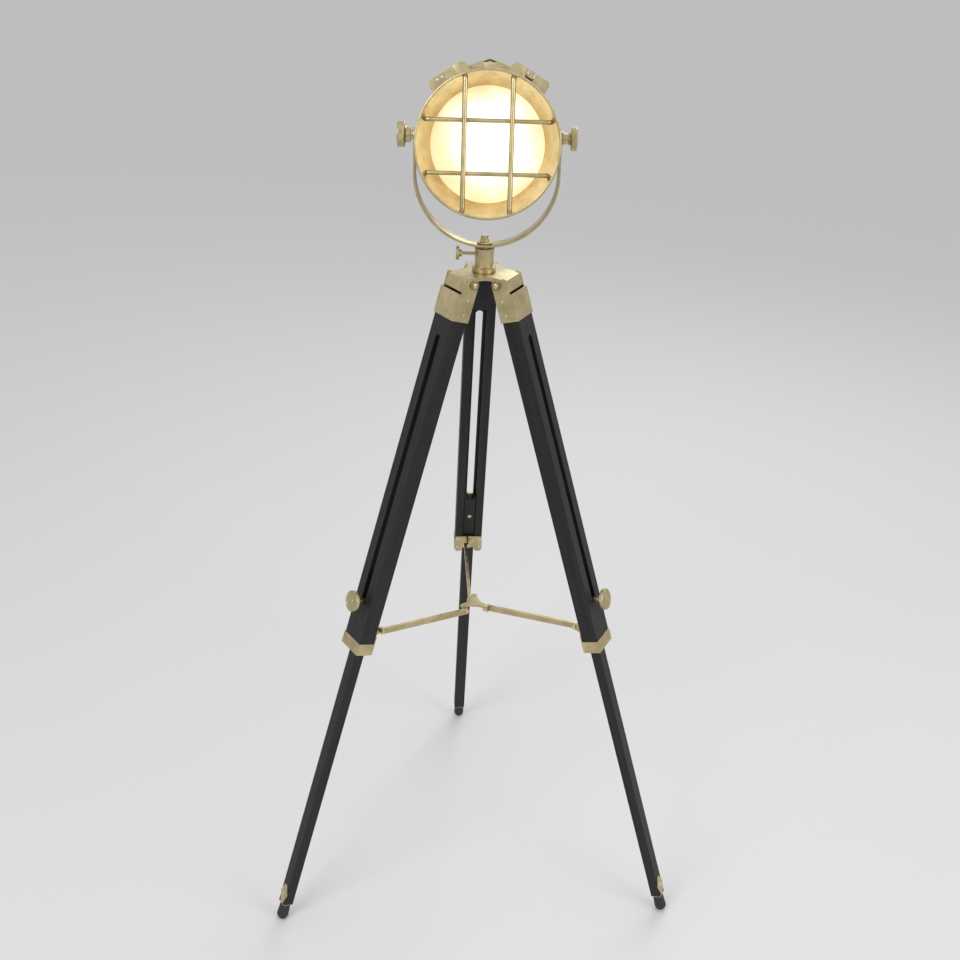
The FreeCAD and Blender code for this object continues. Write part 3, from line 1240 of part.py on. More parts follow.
# ---------------------------------------------------------------- document
def build_all():
    """Build every piece of the lamp."""
    build_crown()
    build_hinge_bolts()
    build_post()
    build_yoke()
    build_lock_screw()
    build_barrel()
    build_vent_hood()
    build_rear()
    build_light()
    build_trunnions()
    build_tilt_knobs()
    build_front_ring()
    build_guard()
    build_glass()
    build_ring_hinge()
    build_clasp()
    build_spider()
    for leg, angle in LEGS.items():
        frame = leg_frame(angle)
        build_cap(f"leg_cap_{leg}", frame)
        build_upper_leg(f"upper_leg_{leg}", frame)
        build_collar(f"collar_{leg}", frame)
        build_bracket(f"brace_bracket_{leg}", frame)
        build_lower_leg(f"lower_leg_{leg}", frame)
        build_clamp_knob(f"clamp_knob_{leg}", frame)
        build_foot(leg, frame)
        build_brace_arm(f"brace_arm_{leg}", angle)


def check_and_export():
    """Refuse a failed document, then write one STEP file per body."""
    DOC.recompute()
    for item in DOC.Objects:
        if {"Invalid", "Error"} & set(item.State):
            raise RuntimeError(f"{item.Label} failed: {item.State}")
    pieces = [item for item in DOC.Objects if item.TypeId == "PartDesign::Body"]
    for piece in pieces:
        if piece.Shape.isNull() or not piece.Shape.isValid() or piece.Shape.Volume <= 0:
            raise RuntimeError(f"{piece.Label} has no valid shape")
    os.makedirs("parts", exist_ok=True)
    for piece in pieces:
        piece.Shape.exportStep(f"parts/{piece.Label}.step")


row = 1
for group_sizes in SIZES.values():
    for word, size in group_sizes.items():
        SHEET.set(f"A{row}", word)
        SHEET.set(f"B{row}", str(size))
        SHEET.setAlias(f"B{row}", word)
        row += 1
DOC.recompute()
build_all()
check_and_export()
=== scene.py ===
"""Tripod searchlight floor lamp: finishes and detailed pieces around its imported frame.

Everything is in metres in the frame's own axes: +Z is up and the lamp shines towards -Y.
"""
import json
import logging
import math
from dataclasses import dataclass, field
from enum import Enum
from typing import Callable, Sequence

import bmesh
import bpy
import numpy as np
from bpy.types import Material, Mesh, NodeSocket, Object, World
from mathutils import Matrix, Vector


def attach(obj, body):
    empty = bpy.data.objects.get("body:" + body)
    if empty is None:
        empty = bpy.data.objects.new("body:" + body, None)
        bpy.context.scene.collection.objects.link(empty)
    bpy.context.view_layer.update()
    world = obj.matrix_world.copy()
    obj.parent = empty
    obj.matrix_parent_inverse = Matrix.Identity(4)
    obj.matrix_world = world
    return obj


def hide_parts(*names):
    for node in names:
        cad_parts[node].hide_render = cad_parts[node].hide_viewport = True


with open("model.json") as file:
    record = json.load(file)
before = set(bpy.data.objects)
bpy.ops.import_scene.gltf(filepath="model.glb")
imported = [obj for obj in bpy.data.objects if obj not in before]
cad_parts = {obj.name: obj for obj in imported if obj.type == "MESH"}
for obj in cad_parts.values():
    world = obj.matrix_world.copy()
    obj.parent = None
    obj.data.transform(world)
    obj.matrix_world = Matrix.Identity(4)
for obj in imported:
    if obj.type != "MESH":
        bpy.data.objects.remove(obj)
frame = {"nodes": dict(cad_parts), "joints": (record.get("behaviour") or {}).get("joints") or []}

LOG = logging.getLogger("searchlight")
MM = 0.001
MERGE = 1e-7  # points nearer than this are one, in metres
UP = (0.0, 0.0, 1.0)
NOISE_SPAN = (0.3, 0.7)  # most values of a noise pattern lie between these
JOINTS = {joint["name"]: joint for joint in frame["joints"]}
Array = np.ndarray
Pair = tuple[float, float]
Triple = tuple[float, float, float]
Ripple = Callable[[Array, Array, Array], Array]


class Leg(Enum):
    """The three legs; each value is the ending of its nodes' names."""

    REAR = "rear"
    LEFT = "left"
    RIGHT = "right"


class HeadSize(Enum):
    """Radius and height of each kind of screw, bolt or rivet head."""

    LEAF = (3.1 * MM, 1.6 * MM)
    CAP = (2.25 * MM, 1.25 * MM)
    SPADE = (3.4 * MM, 1.5 * MM)
    BRACKET = (3.0 * MM, 1.5 * MM)
    BOLT = (4.3 * MM, 2.7 * MM)
    RIVET = (3.7 * MM, 2.1 * MM)


# ---------------- places
def joint_place(name: str) -> Array:
    """Point of a joint's axis at rest, in metres."""
    return np.array(JOINTS[name]["pos_m"], float)


def joint_axis(name: str) -> Array:
    """Unit axis of a joint at rest."""
    axis = np.array(JOINTS[name]["axis"], float)
    return axis / np.linalg.norm(axis)


def basis(origin: Sequence[float], x_way: Sequence[float], z_way: Sequence[float]) -> Array:
    """Frame with a given origin, x direction and z direction.

    Args:
        origin: the frame's origin.
        x_way: direction of x, made square to z.
        z_way: direction of z.

    Returns:
        A 4x4 matrix from the frame to the lamp's axes.
    """
    z_axis = np.asarray(z_way, float) / np.linalg.norm(z_way)
    x_axis = np.asarray(x_way, float) - np.dot(x_way, z_axis) * z_axis
    x_axis /= np.linalg.norm(x_axis)
    place = np.eye(4)
    place[:3, 0], place[:3, 1], place[:3, 2] = x_axis, np.cross(z_axis, x_axis), z_axis
    place[:3, 3] = origin
    return place


def carried(points: Array, place: Array) -> Array:
    """Points, x, y and z along the last axis, taken from a frame to the lamp's axes."""
    return points @ place[:3, :3].T + place[:3, 3]


# ---------------- profiles and surfaces
def rounded(corners: Sequence[Sequence[float]], closed: bool = False, steps: int = 6) -> Array:
    """Plane chain of points whose corners are rounded with tangent arcs.

    An arc reaches radius / tan(half of the corner's angle) along each side, and never past its middle.

    Args:
        corners: (u, v) or (u, v, radius) for each corner.
        closed: whether the last corner joins the first.
        steps: spans in each arc.

    Returns:
        An array of (u, v) points.
    """
    points = np.array([corner[:2] for corner in corners], float)
    count, out, most = len(points), [], 0.499
    for index, corner in enumerate(corners):
        radius = corner[2] if len(corner) > 2 else 0.0
        if radius <= 0 or (not closed and index in (0, count - 1)):
            out.append(points[index])
            continue
        here, before, after = points[index], points[index - 1], points[(index + 1) % count]
        back, ahead = before - here, after - here
        back_long, ahead_long = np.linalg.norm(back), np.linalg.norm(ahead)
        back, ahead = back / back_long, ahead / ahead_long
        half = math.acos(np.clip(np.dot(back, ahead), -1, 1)) / 2
        reach = min(radius / math.tan(half), most * back_long, most * ahead_long)
        radius = reach * math.tan(half)
        centre = here + (back + ahead) / np.linalg.norm(back + ahead) * radius / math.sin(half)
        start, end = here + back * reach - centre, here + ahead * reach - centre
        swing = math.pi - 2 * half
        share = np.linspace(0, 1, steps + 1)[:, None]
        arc = (np.sin((1 - share) * swing) * start + np.sin(share * swing) * end) / math.sin(swing)
        out.extend(centre + arc)
    return np.array(out)


def grid_faces(rows: int, columns: int, closed: bool = False) -> Array:
    """Quads of a grid of points numbered row by row, where each row closes on itself.

    Args:
        rows: number of rows.
        columns: number of points in a row.
        closed: whether the last row joins the first.

    Returns:
        An array of four point numbers for each quad.
    """
    row = np.arange(rows if closed else rows - 1)[:, None]
    column = np.arange(columns)[None, :]
    row_next, column_next = (row + 1) % rows, (column + 1) % columns
    corners = (row * columns + column, row_next * columns + column,
               row_next * columns + column_next, row * columns + column_next)
    return np.stack([corner.ravel() for corner in corners], axis=1)


def solid(name: str, points: Array, faces: Array, crease: float = 35.0) -> Object:
    """Mesh object from points and quads, merged, pointing outwards and smooth between creases.

    Args:
        name: the object's name.
        points: array of (n, 3) in the lamp's axes.
        faces: array of (m, 4) point numbers.
        crease: angle in degrees past which an edge stays sharp.

    Returns:
        The new object, at the origin.
    """
    mesh = bpy.data.meshes.new(name)
    mesh.from_pydata(points.tolist(), [], faces.tolist())
    shell = bmesh.new()
    shell.from_mesh(mesh)
    bmesh.ops.remove_doubles(shell, verts=shell.verts, dist=MERGE)
    bmesh.ops.dissolve_degenerate(shell, dist=MERGE / 10, edges=shell.edges)
    bmesh.ops.recalc_face_normals(shell, faces=shell.faces)
    shell.to_mesh(mesh)
    shell.free()
    smooth(mesh, crease)
    return linked(name, mesh)


def linked(name: str, data: bpy.types.ID) -> Object:
    """New object of some data at the origin, linked to the scene.

    Args:
        name: the object's name.
        data: its mesh, light or camera.

    Returns:
        The new object.
    """
    piece = bpy.data.objects.new(name, data)
    bpy.context.scene.collection.objects.link(piece)
    return piece


def smooth(mesh: Mesh, crease: float) -> None:
    """Smooth shading that breaks at sharp edges.

    Args:
        mesh: the mesh.
        crease: angle in degrees past which an edge stays sharp.
    """
    mesh.polygons.foreach_set("use_smooth", np.ones(len(mesh.polygons), bool))
    mesh.set_sharp_from_angle(angle=math.radians(crease))
    mesh.update()


def full_turn(spans: int) -> Array:
    """Angles of a full turn in equal steps, without the last."""
    return np.linspace(0, 2 * math.pi, spans, endpoint=False)


def lathe(name: str, profile: Array, place: Array, spans: int, closed: bool = False,
          ripple: Ripple | None = None) -> Object:
    """Surface of revolution: radius r at height z goes to (r cos a, r sin a, z) for each angle a.

    Args:
        name: the object's name.
        profile: (z, r) points; a closed one is a ring section, an open one starts and ends on the axis.
        place: frame whose z is the axis of revolution.
        spans: number of steps around.
        closed: whether the profile is a closed section.
        ripple: extra radius as a function of height, radius and angle, such as a knurl.

    Returns:
        The new object.
    """
    angle = full_turn(spans)[None, :]
    level, radius = profile[:, 0][:, None], profile[:, 1][:, None]
    reach = radius + (ripple(level, radius, angle) if ripple else 0.0) * (radius > 0)
    points = np.stack([reach * np.cos(angle), reach * np.sin(angle), level + 0 * angle], axis=-1)
    return solid(name, carried(points.reshape(-1, 3), place), grid_faces(len(profile), spans, closed))


def sweep(name: str, section: Array, path: Array, normal: Sequence[float],
          widen: Array | None = None) -> Object:
    """Closed section carried along a plane path: point = path + a * side + b * normal.

    Args:
        name: the object's name.
        section: (a, b) points, a in the path's plane and b along its normal.
        path: (n, 3) points of the path.
        normal: unit normal of the path's plane.
        widen: factor on b at each path point, or None for 1.

    Returns:
        The new object, closed by a flat cap at each end.
    """
    way = np.gradient(path, axis=0)
    way /= np.linalg.norm(way, axis=1)[:, None]
    across = np.asarray(normal, float)
    side = np.cross(across, way)
    factor = np.ones(len(path)) if widen is None else widen
    rows = (path[:, None, :] + section[None, :, 0, None] * side[:, None, :]
            + (section[None, :, 1] * factor[:, None])[:, :, None] * across)
    middles = np.repeat(path[[0, -1]][:, None, :], len(section), axis=1)
    rows = np.concatenate([middles[:1], rows, middles[1:]])
    return solid(name, rows.reshape(-1, 3), grid_faces(len(rows), len(section)), crease=50.0)


def circle_section(radius: float, spans: int = 24) -> Array:
    """Points of a round section: (r cos a, r sin a)."""
    angle = full_turn(spans)
    return radius * np.stack([np.cos(angle), np.sin(angle)], axis=1)


def cross_head(name: str, place: Array, size: HeadSize) -> Object:
    """Pan screw head with a cross recess.

    The height over the face at share s of the radius is h * (1 - s^4)^(1/3), less a recess where the
    point lies within a cross of two bars. A bar's half sizes are shares of the radius, the recess is
    0.55 of the height deep, and its walls slope over half of a bar.

    Args:
        name: the object's name.
        place: frame with its origin on the seat and z along the screw.
        size: the head's radius and height.

    Returns:
        The new object.
    """
    radius, height = size.value
    bar_wide, bar_long, brim, slope, deep = 0.14, 0.62, 1.25, 0.5, 0.55
    skirt, spans = 0.3 * MM, 48
    share = np.linspace(0, 1, 20)[:, None]
    angle = full_turn(spans)[None, :]
    x, y = share * np.cos(angle), share * np.sin(angle)
    dome = height * np.cbrt(1 - share ** 4) + 0 * angle
    level_bar = np.maximum(np.abs(x) / bar_long, np.abs(y) / bar_wide)
    upright_bar = np.maximum(np.abs(x) / bar_wide, np.abs(y) / bar_long)
    recess = np.clip((brim - np.minimum(level_bar, upright_bar)) / slope, 0, 1) * height * deep
    points = np.stack([x * radius, y * radius, np.maximum(dome - recess, 0.0)], axis=-1)
    floor = points[-1:] * np.array([1, 1, 0.0]) - np.array([0, 0, skirt])
    middle = np.repeat(np.array([[[0.0, 0.0, -skirt]]]), spans, axis=1)
    rows = np.concatenate([points, floor, middle])
    faces = grid_faces(len(rows), spans)
    return solid(name, carried(rows.reshape(-1, 3), place), faces, crease=40.0)


def dome_head(name: str, place: Array, size: HeadSize) -> Object:
    """Plain domed head, whose height at share s of the radius is h * (1 - s^4)^(1/3).

    Args:
        name: the object's name.
        place: frame with its origin on the seat and z out of it.
        size: the head's radius and height.

    Returns:
        The new object.
    """
    radius, height = size.value
    skirt = -0.1 * MM
    share = np.sin(np.linspace(0, math.pi / 2, 14))
    dome = np.stack([height * np.cbrt(1 - share ** 4), share * radius], axis=1)
    return lathe(name, np.concatenate([dome, [[skirt, radius], [skirt, 0.0]]]), place, 40)


def softened(node: str, width: float, crease: float) -> Object:
    """Copy of a frame node with its loose triangles merged and its sharp edges rounded.

    Points within two thousandths of a millimetre become one, and facets within 0.6 degrees one face.

    Args:
        node: the node's name.
        width: how far each rounding reaches, in metres.
        crease: edges sharper than this angle in degrees are rounded.

    Returns:
        A new object named after the node.
    """
    mesh = frame["nodes"][node].data.copy()
    shell = bmesh.new()
    shell.from_mesh(mesh)
    bmesh.ops.remove_doubles(shell, verts=shell.verts, dist=0.002 * MM)
    bmesh.ops.dissolve_limit(shell, angle_limit=math.radians(0.6), verts=shell.verts,
                             edges=shell.edges)
    shell.to_mesh(mesh)
    shell.free()
    smooth(mesh, crease)
    piece = linked(f"{node}_finished", mesh)
    bevel = piece.modifiers.new("edge_rounding", "BEVEL")
    bevel.width = width
    bevel.segments = 3
    bevel.limit_method = "ANGLE"
    bevel.angle_limit = math.radians(crease)
    bevel.harden_normals = True
    bevel.miter_outer = "MITER_ARC"
    return piece


# ---------------- finishes
@dataclass(frozen=True)
class Nodes:
    """Small helper around the node tree of a material or a world."""

    owner: Material | World
    shader: str = "Principled BSDF"

    @classmethod
    def named(cls, name: str) -> "Nodes":
        """A new material with a plain Principled shader.

        Args:
            name: the material's name.

        Returns:
            The helper around it.
        """
        material = bpy.data.materials.new(name)
        material.use_nodes = True
        return cls(material)

    def put(self, socket: NodeSocket, value: object) -> None:
        """Give an input its value.

        Args:
            socket: the input's socket.
            value: another socket, which is linked, or a constant, which is written.
        """
        if isinstance(value, NodeSocket):
            self.owner.node_tree.links.new(value, socket)
        else:
            socket.default_value = value

    def shade(self, **values: object) -> None:
        """Sockets or constants for the shader's inputs, with underscores for the spaces in their names."""
        for word, value in values.items():
            self.put(self.owner.node_tree.nodes[self.shader].inputs[word.replace("_", " ")], value)

    def add(self, kind: str, *values: object, out: int | str = 0, **settings: object) -> NodeSocket:
        """Output of a new node.

        Args:
            kind: the node's type, without its common prefix.
            values: sockets or constants for its first inputs.
            out: number or name of the output.
            settings: properties, or sockets or constants for inputs named with underscores.

        Returns:
            The output's socket.
        """
        node = self.owner.node_tree.nodes.new("ShaderNode" + kind)
        for word, value in settings.items():
            label = word.replace("_", " ")
            if label in node.inputs:
                self.put(node.inputs[label], value)
            else:
                setattr(node, word, value)
        for socket, value in zip(node.inputs, values):
            self.put(socket, value)
        return node.outputs[out]

    def place(self, turn: Triple = (0, 0, 0), shift: Triple = (0, 0, 0),
              scale: Triple = (1, 1, 1)) -> NodeSocket:
        """Object coordinates, shifted, turned and scaled.

        Args:
            turn: Euler angles of the mapping.
            shift: location of the mapping.
            scale: scale of the mapping.

        Returns:
            The vector socket.
        """
        source = self.add("TexCoord", out="Object")
        return self.add("Mapping", source, Location=shift, Rotation=turn, Scale=scale)

    def ramp(self, source: NodeSocket, low: float, high: float, first: float | Triple,
             last: float | Triple) -> NodeSocket:
        """Value or colour that goes from first to last as the source goes from low to high.

        Args:
            source: socket of the driving value.
            low: driving value where the result is first.
            high: driving value where the result is last.
            first: value or colour at low.
            last: value or colour at high.

        Returns:
            The result's socket.
        """
        if not isinstance(first, tuple):
            return self.add("MapRange", source, low, high, first, last)
        blend = self.add("Mix", self.ramp(source, low, high, 0.0, 1.0), data_type="RGBA", out=2)
        for number, colour in ((6, first), (7, last)):
            self.put(blend.node.inputs[number], (*colour, 1.0))
        return blend

    def bump(self, height: NodeSocket, strength: float, distance: float) -> None:
        """Bump on the shader's normal, after any bump that is already there.

        Args:
            height: socket of the height.
            strength: share of the effect.
            distance: height in metres at value 1.
        """
        normal = self.owner.node_tree.nodes[self.shader].inputs["Normal"]
        before = {"Normal": normal.links[0].from_socket} if normal.is_linked else {}
        self.put(normal, self.add("Bump", Strength=strength, Distance=distance, Height=height, **before))


class Texture(Enum):
    """How a metal was finished: its grain's scale, its bump's share and its depth in metres."""

    CAST = (900.0, 0.25, 0.00005)
    SPUN = (2600.0, 0.35, 0.00004)
    ROLLED = (1700.0, 0.25, 0.00002)


@dataclass(frozen=True)
class Metal:
    """Plated metal: patina in soft clouds, a fine finish pattern and a satin gloss."""

    name: str
    light: Triple
    dark: Triple
    gloss: float
    texture: Texture
    centre: Triple = (0.0, 0.0, 0.0)
    tilt: float = 0.0
    cloud_scale: float = 38.0
    cloud_span: Pair = (0.34, 0.68)
    smear_scale: float = 120.0
    smear_long: float = 0.35
    gloss_span: Pair = (-0.07, 0.09)

    def make(self) -> Material:
        """Build the material.

        Returns:
            The material.
        """
        nodes = Nodes.named(self.name)
        cloud = nodes.add("TexNoise", nodes.place(), Scale=self.cloud_scale, Detail=5.0, Roughness=0.62)
        drawn = nodes.place(scale=(1.0, 1.0, self.smear_long))
        smear = nodes.add("TexNoise", drawn, Scale=self.smear_scale, Detail=3.0)
        low, high = (self.gloss + step for step in self.gloss_span)
        nodes.shade(Metallic=1.0, Base_Color=nodes.ramp(cloud, *self.cloud_span, self.dark, self.light),
                    Roughness=nodes.ramp(smear, *NOISE_SPAN, low, high))
        scale, strength, depth = self.texture.value
        place = self.rings(nodes) if self.texture is Texture.SPUN else nodes.place()
        nodes.bump(nodes.add("TexNoise", place, Scale=scale, Detail=2.0), strength, depth)
        return nodes.owner

    def rings(self, nodes: Nodes) -> NodeSocket:
        """Place made of the radius and the level about the spinning axis alone.

        Args:
            nodes: the material's nodes.

        Returns:
            The vector socket.
        """
        place = nodes.place(turn=(self.tilt, 0, 0), shift=self.centre)
        x, y, z = nodes.add("SeparateXYZ", place).node.outputs
        radius = nodes.add("VectorMath", nodes.add("CombineXYZ", x, z), operation="LENGTH", out="Value")
        return nodes.add("CombineXYZ", radius, y)


@dataclass(frozen=True)
class Wood:
    """Black stained wood: open pores along the grain under a satin lacquer."""

    name: str
    turn: Triple
    stain: Triple = (0.005, 0.005, 0.0054)
    worn: Triple = (0.015, 0.013, 0.0125)
    grain_long: float = 0.045
    pore_scale: float = 620.0
    pore_depth: float = 0.00018
    band_scale: float = 85.0
    band_span: Pair = (0.36, 0.7)
    band_depth: float = 0.0003
    gloss: Pair = (0.58, 0.44)

    def make(self) -> Material:
        """Build the material.

        Returns:
            The material.
        """
        nodes = Nodes.named(self.name)
        grain = nodes.add("VectorMath", nodes.place(turn=self.turn), (1.0, 1.0, self.grain_long),
                          operation="MULTIPLY")
        pores = nodes.add("TexNoise", grain, Scale=self.pore_scale, Detail=4.0, Roughness=0.6)
        bands = nodes.add("TexNoise", grain, Scale=self.band_scale, Detail=3.0, Distortion=0.6)
        nodes.shade(Base_Color=nodes.ramp(bands, *self.band_span, self.stain, self.worn),
                    Roughness=nodes.ramp(pores, *NOISE_SPAN, *self.gloss), Specular_IOR_Level=0.34,
                    Coat_Weight=0.05, Coat_Roughness=0.32)
        nodes.bump(pores, 0.45, self.pore_depth)
        nodes.bump(bands, 0.2, self.band_depth)
        return nodes.owner


@dataclass(frozen=True)
class Soft:
    """Rubber, nylon or glazed ceramic: one colour with a mottle and a fine skin."""

    name: str
    colour: Triple
    other: Triple
    gloss: float
    skin: float = 0.00006
    mottle_scale: float = 160.0
    mottle_span: Pair = (0.35, 0.65)
    gloss_span: Pair = (-0.05, 0.06)

    def make(self) -> Material:
        """Build the material.

        Returns:
            The material.
        """
        nodes = Nodes.named(self.name)
        mottle = nodes.add("TexNoise", nodes.place(), Scale=self.mottle_scale, Detail=4.0)
        low, high = (self.gloss + step for step in self.gloss_span)
        nodes.shade(Base_Color=nodes.ramp(mottle, *self.mottle_span, self.colour, self.other),
                    Roughness=nodes.ramp(mottle, *NOISE_SPAN, low, high))
        nodes.bump(mottle, 0.3, self.skin)
        return nodes.owner


@dataclass(frozen=True)
class Lit:
    """Frosted glass lit from behind: glow falls off with the distance from a centre."""

    name: str
    centre: Triple
    reach: float
    core: float
    edge: float
    warm: Triple = (1.0, 0.74, 0.42)
    white: Triple = (1.0, 0.95, 0.84)
    cloud_scale: float = 16.0
    wobble: float = 0.12
    colour_span: Pair = (0.35, 0.95)
    power_span: Pair = (0.3, 1.0)

    def make(self) -> Material:
        """Build the material.

        Returns:
            The material.
        """
        nodes = Nodes.named(self.name)
        offset = nodes.add("VectorMath", nodes.place(), self.centre, operation="DISTANCE", out="Value")
        cloud = nodes.add("TexNoise", nodes.place(), Scale=self.cloud_scale, Detail=2.0)
        sway = self.wobble * self.reach
        spread = nodes.add("Math", offset, nodes.ramp(cloud, *NOISE_SPAN, -sway, sway), operation="ADD")
        low, high = (share * self.reach for share in self.colour_span)
        colour = nodes.ramp(spread, low, high, self.white, self.warm)
        low, high = (share * self.reach for share in self.power_span)
        power = nodes.ramp(spread, low, high, self.core, self.edge)
        nodes.shade(Roughness=0.22, IOR=1.5, Base_Color=colour, Emission_Color=colour,
                    Emission_Strength=power)
        return nodes.owner


# ---------------- placing pieces
def fit(piece: Object, body: str, slot: str, material: Material, *nodes: str) -> None:
    """Dress a new piece, let it ride on a body and let it stand for frame nodes.

    Args:
        piece: the new object.
        body: the body that it rides on.
        slot: the record's material slot; not used.
        material: its material.
        nodes: the frame nodes that it replaces.
    """
    piece.data.materials.clear()
    piece.data.materials.append(material)
    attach(piece, body)
    if nodes:
        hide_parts(*nodes)
    LOG.info("piece %s on %s", piece.name, body)


def refine(body: str, slot: str, material: Material, width: float, *nodes: str, crease: float = 38.0) -> None:
    """Let a copy with rounded edges stand for each of some frame nodes.

    Args:
        body: the body that they ride on.
        slot: the record's material slot.
        material: their material.
        width: how far each rounding reaches, in metres.
        nodes: the frame nodes.
        crease: edges sharper than this angle in degrees are rounded.
    """
    for node in nodes:
        fit(softened(node, width, crease), body, slot, material, node)


def dress_node(node: str, material: Material) -> None:
    """Give a frame node a material; its shape and shading stay as the frame has them.

    Args:
        node: the node's name.
        material: its material.
    """
    data = frame["nodes"][node].data
    data.materials.clear()
    data.materials.append(material)
    LOG.info("node %s", node)


# ---------------- finishes of this lamp
@dataclass
class HeadAxes:
    """Frame of the lamp head: x is the lamp's +X, z runs back along the drum."""

    tilt: float = math.radians(12)
    drop: float = 11.3 * MM
    lens_front: float = 52 * MM
    lens_radius: float = 83 * MM
    bulb_reach: float = 50 * MM
    place: Array = field(init=False)

    def __post_init__(self) -> None:
        """Set the frame below the tilt pivot."""
        up = np.array([0.0, math.sin(self.tilt), math.cos(self.tilt)])
        back = np.array([0.0, math.cos(self.tilt), -math.sin(self.tilt)])
        self.place = basis(joint_place("tilt") - up * self.drop, (1.0, 0.0, 0.0), back)


class Palette:
    """Every material of the lamp, made once."""

    def __init__(self, axes: HeadAxes) -> None:
        """Make the materials.

        The front glass glows most 6 mm to the side and 4 mm below its middle.

        Args:
            axes: the head's frame, which the spun finishes turn about.
        """
        brass = (0.60, 0.515, 0.30), (0.43, 0.36, 0.19)
        middle = axes.place[:3, 3]
        spinning = Texture.SPUN, tuple(-middle), axes.tilt
        glow = carried(np.array([6 * MM, -4 * MM, -axes.lens_front]), axes.place)
        self.plate = Metal("satin_brass_sheet", *brass, 0.36, Texture.ROLLED).make()
        self.cast = Metal("satin_brass_cast", *brass, 0.33, Texture.CAST).make()
        # Lighter copy of the brass for bolt domes, rivets and the wire ring: painted highlight, standing in
        # for their glints.
        self.bright = Metal("bright_brass", (0.80, 0.68, 0.40), (0.62, 0.51, 0.28), 0.2,
                            Texture.ROLLED).make()
        # Darker copy of the brass for the hinge bolts: painted shade, standing in for dark reflections on
        # their boss rings.
        self.shade_brass = Metal("aged_brass", (0.42, 0.35, 0.19), (0.27, 0.22, 0.115), 0.3, Texture.ROLLED).make()
        self.spun = Metal("satin_brass_spun", *brass, 0.34, *spinning).make()
        self.steel = Metal("plated_steel", (0.72, 0.70, 0.64), (0.55, 0.53, 0.48), 0.22,
                           Texture.ROLLED).make()
        self.mirror = Metal("polished_reflector", (0.92, 0.90, 0.84), (0.86, 0.83, 0.76), 0.14,
                            *spinning).make()
        self.rubber = Soft("black_rubber", (0.018, 0.018, 0.019), (0.028, 0.027, 0.027), 0.72).make()
        self.ceramic = Soft("white_glaze", (0.80, 0.79, 0.75), (0.74, 0.73, 0.69), 0.2).make()
        self.nylon = Soft("black_nylon", (0.022, 0.022, 0.024), (0.03, 0.03, 0.032), 0.5).make()
        self.lens = Lit("lit_front_glass", tuple(glow), axes.lens_radius, 1.15, 0.5).make()
        self.bulb = Lit("lit_bulb_glass", tuple(middle), axes.bulb_reach, 6.0, 4.0).make()


# ---------------- sub-assemblies
@dataclass
class Assembly:
    """A group of pieces that are dressed from one palette."""

    palette: Palette


@dataclass
class Head(Assembly):
    """The lamp head on the yoke: drum, hood, cowl, reflector and bulb."""

    def build(self) -> None:
        """Build and dress the head."""
        shades = self.palette
        refine("head", "sheet_metal", shades.plate, 0.5 * MM, "vent_hood", "hinge_block")
        refine("head", "sheet_metal", shades.plate, 0.4 * MM, "clasp_bracket")
        refine("head", "spun_metal", shades.spun, 0.4 * MM, "barrel", "rear_cowl", crease=25.0)
        refine("head", "reflector_metal", shades.mirror, 0.2 * MM, "reflector", crease=60.0)
        refine("head", "lamp_ceramic", shades.ceramic, 0.5 * MM, "lamp_holder")
        refine("head", "plated_steel", shades.steel, 0.3 * MM, "bulb_cap")
        refine("head", "bulb_glass", shades.bulb, 0.1 * MM, "bulb_glass", crease=60.0)
        refine("head", "gland_plastic", shades.nylon, 0.5 * MM, "cable_gland")
        dress_node("trunnion_studs", shades.steel)


@dataclass(frozen=True)
class Bars:
    """One kind of guard bar: its ends lie on a circle, its run in a plane before the head's origin."""

    name: str
    radius: float
    circle: float
    plane: float
    offsets: Pair


